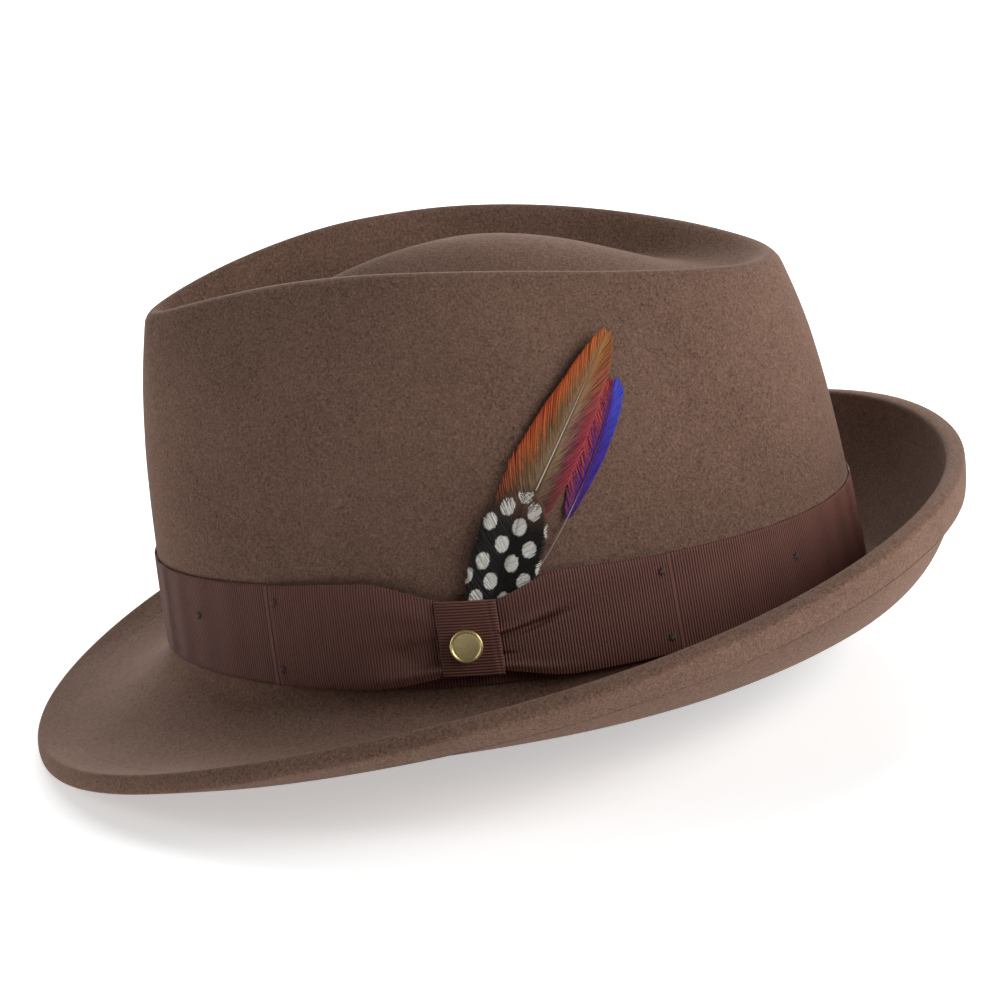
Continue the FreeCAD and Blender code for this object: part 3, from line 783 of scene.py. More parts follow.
@dataclass(frozen=True)
class RibbonFinish:
    """Ribbed ribbon with a low lustre, with painted shade in the grooves between the ribs."""

    # groove is painted shade for the hollows between ribs; crest is the colour on top of the ribs
    groove: tuple[float, float, float, float] = colour(0.019, 0.0062, 0.0042)
    crest: tuple[float, float, float, float] = colour(0.165, 0.064, 0.048)
    pitch: float = 0.82

    def material(self, effects: Effects) -> bpy.types.Material:
        """Build the material: ribs along the piece's first texture coordinate, in millimetres; the colour follows
        the rib height and darkens to painted shade in the grooves.
        """
        nodes = Nodes("grosgrain")
        along, across = uv_parts(nodes)
        ribs = group_node(nodes, effects.ribs, Along=along, Across=across, Pitch=self.pitch)
        fleck = math_node(nodes.tree, "MULTIPLY_ADD", ribs.outputs["Fleck"], 0.35, -0.17)
        level = math_node(nodes.tree, "MULTIPLY_ADD", ribs.outputs["Height"], 0.75, fleck, clamp=True)
        # painted shade: the colour darkens towards groove where the rib height falls
        shade = ramp(nodes.tree, level, [(0.05, self.groove), (0.85, self.crest)])
        nodes.set(Base_Color=shade, Roughness=0.68, Specular_IOR_Level=0.25, Sheen_Weight=0.08,
                  Sheen_Roughness=0.4, Sheen_Tint=colour(1.0, 0.55, 0.42),
                  Normal=nodes.bump(ribs.outputs["Height"], 0.7, 0.00022))
        return nodes.material


@dataclass(frozen=True)
class BrassFinish:
    """Lightly brushed brass."""

    tint: tuple[float, float, float, float] = colour(0.90, 0.76, 0.40)

    def material(self, effects: Effects) -> bpy.types.Material:
        """Build the material: metal with fine scratches and a little tarnish."""
        nodes = Nodes("brass")
        where = object_place(nodes)
        fibre = group_node(nodes, effects.fibre, Vector=where, Fine=2600.0, Cloud=240.0)
        shade = ramp(nodes.tree, fibre.outputs["Shade"], [(0.10, colour(0.62, 0.49, 0.22)), (0.70, self.tint)])
        rough = math_node(nodes.tree, "MULTIPLY_ADD", fibre.outputs["Shade"], 0.15, 0.36)
        nodes.set(Base_Color=shade, Metallic=1.0, Roughness=rough,
                  Normal=nodes.bump(fibre.outputs["Height"], 0.12, 0.0001))
        return nodes.material


@dataclass(frozen=True)
class ThreadFinish:
    """Twisted sewing thread."""

    shade: tuple[float, float, float, float] = colour(0.100, 0.044, 0.034)

    def material(self, effects: Effects) -> bpy.types.Material:
        """Build the material: a dark fibre with faint flecks."""
        nodes = Nodes("sewing_thread")
        fibre = group_node(nodes, effects.fibre, Vector=object_place(nodes), Fine=4200.0, Cloud=500.0)
        shade = mix_colour(nodes.tree, fibre.outputs["Shade"], colour(0.045, 0.019, 0.015), self.shade)
        nodes.set(Base_Color=shade, Roughness=0.7, Sheen_Weight=0.2,
                  Normal=nodes.bump(fibre.outputs["Height"], 0.4, 0.0002))
        return nodes.material


@dataclass(frozen=True)
class LeatherFinish:
    """Smooth dark brown sweatband leather."""

    shade: tuple[float, float, float, float] = colour(0.085, 0.042, 0.026)

    def material(self, effects: Effects) -> bpy.types.Material:
        """Build the material: pebbled grain from a cell texture, with worn lighter patches."""
        nodes = Nodes("sweatband_leather")
        where = object_place(nodes)
        cells = nodes.add("ShaderNodeTexVoronoi", {"feature": "DISTANCE_TO_EDGE"}, Vector=where, Scale=620.0)
        fibre = group_node(nodes, effects.fibre, Vector=where, Fine=900.0, Cloud=40.0)
        grain = math_node(nodes.tree, "MINIMUM", cells.outputs["Distance"], 0.16)
        height = math_node(nodes.tree, "MULTIPLY_ADD", grain, 4.0,
                           math_node(nodes.tree, "MULTIPLY", fibre.outputs["Height"], 0.3))
        shade = mix_colour(nodes.tree, fibre.outputs["Shade"], colour(0.050, 0.024, 0.015), self.shade)
        rough = math_node(nodes.tree, "MULTIPLY_ADD", fibre.outputs["Shade"], 0.25, 0.36)
        nodes.set(Base_Color=shade, Roughness=rough, Coat_Weight=0.08, Coat_Roughness=0.3,
                  Normal=nodes.bump(height, 0.35, 0.00015))
        return nodes.material


@dataclass(frozen=True)
class SatinFinish:
    """Lining satin with a fine twill."""

    shade: tuple[float, float, float, float] = colour(0.165, 0.095, 0.066)

    def material(self, effects: Effects) -> bpy.types.Material:
        """Build the material: fine slanting twill, anisotropic gloss and soft clouds."""
        nodes = Nodes("lining_satin")
        where = object_place(nodes)
        twill = nodes.add("ShaderNodeTexWave", {"bands_direction": "DIAGONAL"}, Vector=where, Scale=620.0,
                          Distortion=0.4, Detail=1.0)
        fibre = group_node(nodes, effects.fibre, Vector=where, Fine=1700.0, Cloud=22.0)
        shade = mix_colour(nodes.tree, fibre.outputs["Shade"], colour(0.110, 0.060, 0.042), self.shade)
        nodes.set(Base_Color=shade, Roughness=0.36, Anisotropic=0.45, Sheen_Weight=0.3,
                  Normal=nodes.bump(twill.outputs[1], 0.25, 0.0001))
        return nodes.material


@dataclass(frozen=True)
class ReedFinish:
    """Woven tape over the reed."""

    def material(self, effects: Effects) -> bpy.types.Material:
        """Build the material: a checked tape weave."""
        nodes = Nodes("reed_tape")
        where = object_place(nodes)
        weave = nodes.add("ShaderNodeTexChecker", None, Vector=where, Scale=1800.0)
        fibre = group_node(nodes, effects.fibre, Vector=where, Fine=2200.0, Cloud=90.0)
        shade = mix_colour(nodes.tree, fibre.outputs["Shade"], colour(0.060, 0.035, 0.026),
                           colour(0.120, 0.072, 0.052))
        nodes.set(Base_Color=shade, Roughness=0.8, Normal=nodes.bump(weave.outputs[1], 0.3, 0.0001))
        return nodes.material


class Plume(Enum):
    """The three feathers."""

    GUINEA = "guinea"
    AMBER = "amber"
    VIOLET = "violet"


@dataclass(frozen=True)
class FeatherFinish:
    """Vane colours of one feather, by its texture coordinates in millimetres."""

    plume: Plume

    def material(self, effects: Effects) -> bpy.types.Material:
        """Build the material of this plume: streaks run along the barbs, out and up from the quill."""
        nodes = Nodes("vane_" + self.plume.value)
        tree = nodes.tree
        across, along = uv_parts(nodes)
        lean = math_node(tree, "MULTIPLY", math_node(tree, "ABSOLUTE", across), 1.2)
        root = math_node(tree, "SUBTRACT", along, lean)
        barb = nodes.add("ShaderNodeCombineXYZ", None, X=math_node(tree, "MULTIPLY", across, 0.10), Y=root)
        streak = group_node(nodes, effects.barbs, Vector=barb.outputs[0], Scale=1.5).outputs["Streak"]
        place = nodes.add("ShaderNodeCombineXYZ", None, X=across, Y=along).outputs[0]
        builder = {Plume.GUINEA: self.guinea, Plume.AMBER: self.amber, Plume.VIOLET: self.violet}
        shade = builder[self.plume](tree, across, along, place, streak)
        nodes.set(Base_Color=shade, Roughness=0.55, Specular_IOR_Level=0.2, Sheen_Weight=0.03,
                  Normal=nodes.bump(streak, 0.16, 0.0002))
        return nodes.material

    @staticmethod
    def above(tree: bpy.types.NodeTree, along: object, low: float, high: float) -> bpy.types.NodeSocket:
        """0 below a height and 1 above another.

        Args:
            tree: node tree that gets the nodes.
            along: height up the feather, in millimetres.
            low: where it is still 0.
            high: where it has come to 1.

        Returns:
            The eased step.
        """
        return math_node(tree, "DIVIDE", math_node(tree, "SUBTRACT", along, low), high - low, clamp=True)

    @staticmethod
    def guinea(tree: bpy.types.NodeTree, across: object, along: object, place: object,
               streak: object) -> bpy.types.NodeSocket:
        """Near black with oval pale spots in staggered rows; brown and thin at the tip.

        Args:
            tree: node tree that gets the nodes.
            across: place across, from the quill or the middle line; not used.
            along: height up the feather, in millimetres.
            place: place on the piece, in millimetres.
            streak: shade of the single barbs, 0 to 1.

        Returns:
            Colour of the vane.
        """
        turned = add_node(tree, "ShaderNodeMapping", None, Vector=place, Rotation=(0.0, 0.0, math.radians(40.0)),
                          Scale=(1.0, 0.84, 1.0), Location=(0.3, 1.1, 0.0))
        cells = add_node(tree, "ShaderNodeTexVoronoi", {"voronoi_dimensions": "2D"}, Vector=turned.outputs[0],
                         Scale=0.178, Randomness=0.28)
        wobble = math_node(tree, "MULTIPLY_ADD", streak, 0.10, cells.outputs["Distance"])
        spot = ramp(tree, wobble, [(0.355, colour(1, 1, 1)), (0.400, colour(0, 0, 0))])
        tip = FeatherFinish.above(tree, along, 42.0, 50.0)
        ground = mix_colour(tree, streak, colour(0.003, 0.0027, 0.0027), colour(0.011, 0.007, 0.006))
        ground = mix_colour(tree, tip, ground, colour(0.10, 0.052, 0.030))
        pale = mix_colour(tree, streak, colour(0.42, 0.40, 0.36), colour(0.86, 0.84, 0.79))
        thin = math_node(tree, "GREATER_THAN", streak, 0.50)
        kept = math_node(tree, "SUBTRACT", 1.0, math_node(tree, "MULTIPLY", tip, thin))
        return mix_colour(tree, math_node(tree, "MULTIPLY", spot, kept), ground, pale)

    @staticmethod
    def amber(tree: bpy.types.NodeTree, across: object, along: object, place: object,
              streak: object) -> bpy.types.NodeSocket:
        """Tan by the quill, orange red along the front margin, wine red along the rear one.

        Args:
            tree: node tree that gets the nodes.
            across: place across, from the quill or the middle line.
            along: height up the feather, in millimetres.
            place: place on the piece, in millimetres; not used.
            streak: shade of the single barbs, 0 to 1.

        Returns:
            Colour of the vane.
        """
        shifted = math_node(tree, "MULTIPLY_ADD", streak, 5.0, math_node(tree, "ADD", across, -2.5))
        body = ramp(tree, math_node(tree, "MULTIPLY_ADD", shifted, 0.0625, 0.5),
                    [(0.02, colour(0.44, 0.065, 0.016)), (0.13, colour(0.34, 0.080, 0.018)),
                     (0.22, colour(0.16, 0.064, 0.020)), (0.33, colour(0.14, 0.080, 0.036)),
                     (0.44, colour(0.21, 0.132, 0.072)), (0.56, colour(0.23, 0.150, 0.090)),
                     (0.66, colour(0.17, 0.095, 0.055)), (0.76, colour(0.13, 0.028, 0.042)),
                     (0.88, colour(0.30, 0.032, 0.050))])
        low = mix_colour(tree, FeatherFinish.above(tree, along, 60.0, 46.0), body, colour(0.085, 0.045, 0.024))
        low = mix_colour(tree, 0.55, body, low)
        top = mix_colour(tree, streak, colour(0.17, 0.050, 0.010), colour(0.42, 0.165, 0.030))
        edge = ramp(tree, math_node(tree, "MULTIPLY_ADD", shifted, 0.0625, 0.5),
                    [(0.10, colour(0.55, 0.075, 0.012)), (0.45, colour(0.30, 0.16, 0.07)),
                     (0.70, colour(0.26, 0.10, 0.02)), (0.95, colour(0.22, 0.06, 0.02))])
        high = mix_colour(tree, 0.5, top, edge)
        rise = math_node(tree, "MULTIPLY_ADD", streak, 12.0, math_node(tree, "ADD", along, -6.0))
        return mix_colour(tree, FeatherFinish.above(tree, rise, 70.0, 86.0), low, high)

    @staticmethod
    def violet(tree: bpy.types.NodeTree, across: object, along: object, place: object,
               streak: object) -> bpy.types.NodeSocket:
        """Wine and purple barbs by the quill, deep blue along the rear margin and brighter at the tip.

        Args:
            tree: node tree that gets the nodes.
            across: place across, from the quill or the middle line.
            along: height up the feather, in millimetres.
            place: place on the piece, in millimetres; not used.
            streak: shade of the single barbs, 0 to 1.

        Returns:
            Colour of the vane.
        """
        shifted = math_node(tree, "MULTIPLY_ADD", streak, 10.0, math_node(tree, "ADD", across, -4.2))
        body = ramp(tree, math_node(tree, "MULTIPLY_ADD", shifted, 0.0625, 0.5),
                    [(0.16, colour(0.36, 0.050, 0.030)), (0.36, colour(0.30, 0.028, 0.050)),
                     (0.46, colour(0.085, 0.014, 0.085)), (0.58, colour(0.050, 0.012, 0.165)),
                     (0.76, colour(0.040, 0.018, 0.280))])
        bright = mix_colour(tree, FeatherFinish.above(tree, across, 1.0, 4.0), body, colour(0.040, 0.050, 0.42))
        body = mix_colour(tree, FeatherFinish.above(tree, along, 58.0, 72.0), body, bright)
        low = math_node(tree, "MULTIPLY", FeatherFinish.above(tree, along, 56.0, 44.0), 0.8)
        return mix_colour(tree, low, body, colour(0.060, 0.012, 0.110))


@dataclass(frozen=True)
class QuillFinish:
    """Horny quill: one colour low down, fading to another up the vane."""

    plume: Plume
    low: tuple[float, float, float, float]
    high: tuple[float, float, float, float]
    fade: tuple[float, float]

    def material(self, effects: Effects) -> bpy.types.Material:
        """Build the material: a soft gloss over two colours that meet between two heights in metres."""
        nodes = Nodes("quill_" + self.plume.value)
        where = object_place(nodes)
        fibre = group_node(nodes, effects.fibre, Vector=where, Fine=1500.0, Cloud=160.0)
        height = nodes.add("ShaderNodeSeparateXYZ", None, Vector=where).outputs[2]
        share = FeatherFinish.above(nodes.tree, height, *self.fade)
        base = mix_colour(nodes.tree, share, self.low, self.high)
        shade = mix_colour(nodes.tree, math_node(nodes.tree, "MULTIPLY", fibre.outputs["Shade"], 0.4), base,
                           colour(0.06, 0.04, 0.03))
        nodes.set(Base_Color=shade, Roughness=0.4, Normal=nodes.bump(fibre.outputs["Height"], 0.15, 0.0001))
        return nodes.material


@dataclass
class Palette:
    """Every finish of the hat, built once."""

    def __post_init__(self) -> None:
        """Build the groups and materials."""
        effects = Effects()
        self.felt = FeltFinish().material(effects)
        self.ribbon = RibbonFinish().material(effects)
        self.brass = BrassFinish().material(effects)
        self.thread = ThreadFinish().material(effects)
        self.leather = LeatherFinish().material(effects)
        self.satin = SatinFinish().material(effects)
        self.reed = ReedFinish().material(effects)
        pale, grey = colour(0.55, 0.47, 0.37), colour(0.30, 0.23, 0.21)
        quills = [QuillFinish(Plume.AMBER, pale, colour(0.26, 0.12, 0.04), (0.066, 0.084)),
                  QuillFinish(Plume.VIOLET, grey, colour(0.09, 0.02, 0.14), (0.044, 0.052)),
                  QuillFinish(Plume.GUINEA, colour(0.04, 0.03, 0.03), colour(0.10, 0.06, 0.04), (0.02, 0.05))]
        self.quills = {quill.plume: quill.material(effects) for quill in quills}
        self.vanes = {plume: FeatherFinish(plume).material(effects) for plume in Plume}


def dress(obj: bpy.types.Object, material: bpy.types.Material, body: Body, slot: str,
          *nodes: str) -> bpy.types.Object:
    """Give a piece its material and body, and hide the CAD nodes that it stands for.

    Args:
        obj: the piece.
        material: its finish.
        body: body that it rides on.
        slot: name of its material slot; not used.
        nodes: nodes of the material.

    Returns:
        The same piece.
    """
    obj.data.materials.append(material)
    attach(obj, body.value)
    if nodes:
        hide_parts(*nodes)
    log.info("piece %s: %d faces", obj.name, len(obj.data.polygons))
    return obj


# ------------------------------------------------------------------ felt
@dataclass
class FeltShell:
    """Crown and brim as one skin of felt, outside and inside, with the turned-under edge."""

    crown: Crown
    brim: Brim
    around: int = 380
    felt: float = 2.6
    welt: float = 5.6
    edge: float = 1.4
    pole: float = 1.95
    lift: float = 1.2

    def hand(self, points: Array, amount: float) -> Array:
        """Small unevenness of felt shaped by hand: a sum of slow waves, in millimetres.

        Args:
            points: points of the grid, in millimetres.
            amount: greatest depth of the waves.

        Returns:
            Height of the unevenness.
        """
        x, y, z = points[..., 0], points[..., 1], points[..., 2]
        waves = (np.sin(x / 17.0 + 0.7 * np.sin(z / 23.0)) * np.sin(y / 19.0 + 1.3)
                 + 0.6 * np.sin(y / 9.5 + 0.8 * np.sin(x / 14.0)) * np.sin(z / 11.0 + 0.4)
                 + 0.35 * np.sin((x + z) / 5.6) * np.sin((y - z) / 6.7))
        return amount * waves

    def build(self, palette: Palette) -> bpy.types.Object:
        """Grid from the middle of the tip outside, down the crown, over the brim and back inside."""
        crown, brim = self.crown, self.brim
        th = np.linspace(0, TURN, self.around, endpoint=False)
        rows: list[Array] = []
        press: list[float] = []

        def add(row: Array, uneven: float) -> None:
            """Keep one ring and how uneven it may be.

            Args:
                row: points of the ring.
                uneven: how uneven it may be, in millimetres.
            """
            rows.append(row)
            press.append(uneven)

        for v in np.linspace(self.pole, 1.0, 46)[:-1]:
            add(crown.point(th, v), 0.12)
        for v in np.linspace(1.0, 0.0, 60)[:-1]:
            add(crown.point(th, v), 0.12 * smooth(np.array((v - 0.28) / 0.2)))
        for part in np.linspace(0.0, 1.0, 9)[:-1]:
            add(brim.bend(th, part, 0.0), 0.0)
        seam_s = brim.welt(th)
        for s in joined(np.linspace(0.0, 0.76, 22)[:-1], np.linspace(0.76, 1.0, 20)[:-1]):
            distance = (s - seam_s) * brim.waves(th, brim.widths)
            dip = 0.12 * np.exp(-((distance / 0.55) ** 2))
            add(brim.point(th, s, dip), 0.1 * smooth(np.array(s / 0.2)) * smooth(np.array((1 - s) / 0.1)))
        for turn in np.linspace(0.0, 1.0, 13):
            a = math.pi * turn
            add(brim.point(th, 1.0, self.welt * 0.5 * (1 - math.cos(a)), self.edge * math.sin(a) ** 0.7), 0.0)
        for k in (0.2, 0.4, 0.6, 0.75, 0.86, 0.94):
            add(brim.point(th, 1 - k * (1 - seam_s), self.welt), 0.0)
        for turn in np.linspace(0.0, 1.0, 6):
            a = 0.5 * math.pi * turn
            drop = self.welt - 0.6 * (1 - math.cos(a))
            add(brim.point(th, seam_s + 0.012 * (1 - math.sin(a)), drop), 0.0)
        add(brim.point(th, seam_s, 0.5 * (self.welt + self.felt)), 0.0)
        add(brim.point(th, seam_s, self.felt), 0.0)
        for k in np.linspace(1.0, 0.0, 24)[1:]:
            uneven = 0.07 * smooth(np.array((1 - k) / 0.2)) * smooth(np.array(k / 0.2))
            add(brim.point(th, seam_s * k, self.felt), uneven)
        for part in np.linspace(1.0, 0.0, 8)[1:]:
            add(brim.bend(th, part, self.felt), 0.0)
        for v in np.linspace(0.0, 0.9, 32)[1:]:
            add(crown.off(th, v, -self.felt), 0.0)
        fold = 0.5 * (crown.off(th, 0.95, -self.felt) + crown.off(th, 1.06, -self.felt))
        add(fold + np.array([0.0, 0.0, self.lift]), 0.0)
        for v in np.linspace(1.1, 1.85, 22):
            add(crown.off(th, v, -self.felt), 0.0)
        add(crown.point(th, self.pole) - np.array([0.0, 0.0, self.felt]), 0.0)
        points = np.stack(rows)
        around = unit(np.roll(points, -1, 1) - np.roll(points, 1, 1))
        down = unit(np.gradient(points, axis=0))
        normal = unit(np.cross(around, down))
        uneven = self.hand(points, 1.0) * np.array(press)[:, None]
        points = points + normal * uneven[..., None]
        obj = grid_object("felt_shell", points[::-1], wrap_i=False, wrap_j=True, fans=True)
        return dress(obj, palette.felt, Body.HAT, "felt", "felt_body")


# ------------------------------------------------------------------ ribbon
@dataclass
class Ribbon:
    """Band and bow: flat strips of ribbed ribbon with woven edges."""

    crown: Crown
    gap: float = 0.15
    thick: float = 0.6
    band_low: float = 0.008
    band_high: float = 0.2745
    knot_angle: float = 82.0
    knot_middle: float = 14.2
    knot_width: float = 16.6
    knot_height: float = 20.4
    waist_back: float = 3.7
    knot_back: float = 2.95
    front_back: float = 5.1
    mm_per_degree: float = math.radians(103.3)

    def picots(self, place: Array, pitch: float = 0.82, depth: float = 0.16) -> Array:
        """Tiny loops of weft along a woven edge, in millimetres.

        Args:
            place: place on the piece, in millimetres.
            pitch: distance from loop to loop, in millimetres.
            depth: distance under the upper face, in millimetres.

        Returns:
            Height of the loops.
        """
        return depth * np.abs(np.sin(math.pi * place / pitch)) ** 1.5

    def band(self, palette: Palette) -> bpy.types.Object:
        """Band round the crown: a thin closed strip that hugs the wall, ribs up and down."""
        crown = self.crown
        th = np.linspace(0, TURN, 1500, endpoint=False)
        run_mm = th * 95.0
        lift = 0.10 * np.sin(3 * th + 0.4) + 0.07 * np.sin(7 * th + 1.0)
        low = self.band_low + (self.picots(run_mm) + 0.25 * (lift + 0.17)) / 110.0
        high = self.band_high - (self.picots(run_mm + 0.5) - 0.6 * (lift - 0.17)) / 110.0
        beside = np.degrees(th) - self.knot_angle
        high = high - 0.075 * np.exp(-((beside / 10.0) ** 2)) - 0.012 * np.exp(-((beside / 24.0) ** 2))
        outs, shares = [], []
        for share in np.linspace(0, 1, 27):
            shares.append(low + (high - low) * share)
            outs.append(np.full_like(th, self.gap + self.thick))
        for share in np.linspace(1, 0, 14):
            shares.append(low + (high - low) * share)
            outs.append(np.full_like(th, self.gap))
        v, out = np.stack(shares), np.stack(outs)
        rib = 0.05 * np.cos(TURN * run_mm / 0.82)
        bow = 0.07 * np.sin(5 * th + 2.0) * np.sin(math.pi * np.clip((v - low) / (high - low), 0, 1))
        outer = np.zeros((41, 1))
        outer[1:26] = 1.0
        points = crown.off(th[None], v, out + outer * (rib[None] + bow))
        uv_along = np.broadcast_to(np.append(run_mm, TURN * 95.0), (42, 1501))
        uv_across = np.append(v, v[:1], 0) * 110.0
        uv_across = np.append(uv_across, uv_across[:, :1], 1)
        obj = grid_object("band_strip", points, wrap_i=True, wrap_j=True, uv=np.stack([uv_along, uv_across], -1))
        dress(obj, palette.ribbon, Body.HAT, "ribbon", "hat_band")
        return obj

    def ease(self, k: Array) -> Array:
        """How far a wing has come down from the knot to the band."""
        return smooth((k - 0.16) / 0.5)

    def wing_point(self, start: float, end: float, k: Array, across: Array, out: Array) -> Array:
        """Point of a bow wing.

        Args:
            start: angle at the knot.
            end: angle at the sewn end.
            k: 0 at the knot and 1 at the end.
            across: -1 at the lower edge and 1 at the upper edge.
            out: distance out from the felt.

        Returns:
            Points in millimetres.
        """
        spread = smooth((k + 0.02) / 0.5) if end < start else smooth((k - 0.08) / 0.38)
        height = 18.6 + 9.6 * spread
        middle = self.knot_middle + 1.4 * spread
        angle = start + (end - start) * k
        rise = middle + 0.5 * height * across + 0.5 * np.sin(math.pi * k) * (across > 0) * across
        return self.crown.off(np.radians(angle), self.crown.share(rise), out)

    def wing(self, name: str, end: float, node: str, palette: Palette) -> bpy.types.Object:
        """One wing: ribbon doubled over at its end, gathered into pleats at the knot.

        Args:
            name: the piece's name.
            end: angle of the sewn end, in degrees.
            node: CAD node that it stands for.
            palette: every finish of the hat.

        Returns:
            The wing.
        """
        front = end < self.knot_angle
        start = self.knot_angle + (-0.05 if front else 0.05)
        run = abs(end - start) * self.mm_per_degree
        nk, na = 240, 97
        k = np.linspace(0.0, 1.0, nk)
        across = np.linspace(-1.0, 1.0, na)
        kk, aa = np.meshgrid(k, across, indexing="ij")
        ease = self.ease(kk)
        lay = self.gap * 3 + self.thick
        base = self.waist_back + (lay - self.waist_back) * ease
        puff = 1.5 * np.sin(math.pi * np.clip((kk - 0.14) / 0.86, 0, 1)) ** 1.6
        close = smooth((0.62 - kk) / 0.44)
        pleat = self.pleats(kk, aa, front) * close
        roll = 1.0 - smooth((kk - 0.975) / 0.025)
        thick_here = 0.7 + 0.75 * ease + (puff + pleat)
        thick_here = 0.5 * (thick_here + np.sqrt(thick_here ** 2 + 0.05)) + 0.08
        thick_here = thick_here * (0.35 + 0.65 * roll)
        hug = 1.0 - np.abs(aa) ** 8
        wave = 0.16 * np.sin(2.6 * kk * math.pi + aa * 1.7) * ease * (1 - kk)
        top = base + thick_here + 0.1 * wave - (1 - hug) * 0.25 * thick_here
        top = top - 0.2 * np.exp(-(((kk - 0.962) / 0.006) ** 2))
        rib = 0.05 * np.cos(TURN * kk * run / 0.82)
        points_top = self.wing_point(start, end, kk, aa * (1 + 0.012 * wave), top + rib)
        half = self.wing_point(start, end, kk, aa * 0.992, base + 0.02)
        points = np.concatenate([points_top, half[:, ::-1]], 1)
        along = np.broadcast_to((k * run)[:, None], (nk, 2 * na + 1))
        flat = aa * 14.0
        wide = np.concatenate([flat, flat[:, ::-1], flat[:, :1]], 1)
        if front:
            points = points[:, ::-1]
            wide = wide[:, ::-1]
        obj = grid_object(name, points, wrap_i=False, wrap_j=True, uv=np.stack([along, wide], -1), fans=True)
        dress(obj, palette.ribbon, Body.HAT, "ribbon", node)
        return obj

    @staticmethod
    def pleats(k: Array, across: Array, front: bool) -> Array:
        """Height of the tucks by the knot: sharp folds that fan out and fade along the wing.

        Args:
            k: share of the way from the knot to the sewn end.
            across: place across, from the quill or the middle line.
            front: whether this is the front wing.

        Returns:
            Height of the tucks, in millimetres.
        """
        if front:
            fold = -2.3 * np.exp(-(((across + 0.30 + 0.10 * k) / 0.24) ** 2)) * smooth((0.62 - k) / 0.5)
            fold = fold + 0.9 * np.exp(-(((across + 0.78 + 0.1 * k) / 0.12) ** 2))
            fold = fold - 0.8 * np.exp(-(((across + 0.60 + 0.3 * k) / 0.05) ** 2)) * smooth((0.34 - k) / 0.2)
            return fold + 0.5 * np.exp(-(((across - 0.45 - 0.3 * k) / 0.2) ** 2))
        groove = across + 0.12 - 0.62 * k - 0.25 * k ** 2
        fold = -2.8 * np.exp(-((groove / 0.070) ** 2)) * smooth((0.60 - k) / 0.34)
        fold = fold + 1.1 * np.exp(-(((groove - 0.15) / 0.11) ** 2)) * smooth((0.6 - k) / 0.4)
        fold = fold - 0.7 * np.exp(-(((across + 0.55 - 0.2 * k) / 0.06) ** 2)) * smooth((0.26 - k) / 0.16)
        return fold + 0.6 * np.exp(-(((across + 0.84) / 0.1) ** 2))

    def knot(self, palette: Palette) -> bpy.types.Object:
        """Knot: ribbon wrapped round the waist, ribs level, with one soft fold along it."""
        half_w = 0.5 * self.knot_width / self.mm_per_degree
        na, nc = 70, 60
        side = np.linspace(-1, 1, na)
        loop = np.linspace(0, TURN, nc * 2, endpoint=False)
        low, high = self.knot_back, self.front_back + self.thick
        mid, tall = 0.5 * (low + high), 0.5 * (high - low)
        power = 2.0 / 6.0
        cx = np.sign(np.cos(loop)) * np.abs(np.cos(loop)) ** power
        sx = np.sign(np.sin(loop)) * np.abs(np.sin(loop)) ** power
        ss, cc = np.meshgrid(side, cx, indexing="ij")
        _, up = np.meshgrid(side, sx, indexing="ij")
        front = smooth((cc - 0.3) / 0.4)
        crease = -0.16 * np.exp(-(((ss - 0.80 + 0.10 * up) / 0.06) ** 2)) * front
        crease = crease - 0.12 * np.exp(-(((ss + 0.82 - 0.05 * up) / 0.08) ** 2)) * front
        swell = 0.30 * (1 - ss ** 2) * front * np.abs(up) ** 3 / 2 - 0.45 * ss ** 10
        angle = self.knot_angle + ss * half_w + 0.10 * up
        rise = self.knot_middle + 0.5 * self.knot_height * up - 0.21 * ss
        out = mid + tall * cc + crease + swell
        outer = self.crown.off(np.radians(angle), self.crown.share(rise), out)
        inner_tall, inner_high = tall - self.thick, 0.5 * self.knot_height - self.thick
        inner = self.crown.off(np.radians(angle), self.crown.share(self.knot_middle + inner_high * up),
                               mid + inner_tall * cc)
        points = np.concatenate([outer, inner[::-1]], 0)
        steps = np.linalg.norm(np.diff(np.append(outer[na // 2], outer[na // 2, :1], 0), axis=0), axis=1)
        girth = np.append(0.0, np.cumsum(steps))
        wide = np.concatenate([ss[:, :1], ss[::-1, :1], ss[:1, :1]], 0) * 0.5 * self.knot_width
        uv = np.stack(np.broadcast_arrays(girth[None, :], wide), -1)
        obj = grid_object("knot_wrap", points, wrap_i=True, wrap_j=True, uv=uv)
        dress(obj, palette.ribbon, Body.HAT, "ribbon", "bow_knot")
        return obj

    def tacks(self, palette: Palette) -> bpy.types.Object:
        """Crossed threads that hold the band and the wing ends."""
        spots = [(28.7, 18.0, 0.9), (140.5, 18.0, 0.9), (219.5, 18.0, 0.9), (331.3, 18.0, 0.9)]
        spots += [(49.7, 6.08, 2.9), (49.7, 25.12, 2.9), (112.8, 6.08, 2.9), (112.8, 25.12, 2.9)]
        starts, ends, outs = [], [], []
        for angle, height, out in spots:
            centre, normal, up = self.crown.frame_at(np.array(angle), np.array(height), np.array(out))
            side = np.cross(up, normal)
            for p, q in ((1.0, 0.12), (0.08, 1.0), (0.72, 0.70), (0.70, -0.66)):
                reach = 1.35 * (side * p + up * q)
                starts.append(centre - reach)
                ends.append(centre + reach)
                outs.append(normal)
        arrays = stitches(np.array(starts), np.array(ends), np.array(outs), 0.2)
        return dress(mesh_object("tack_threads", *arrays), palette.thread, Body.HAT, "thread", "thread_tacks")


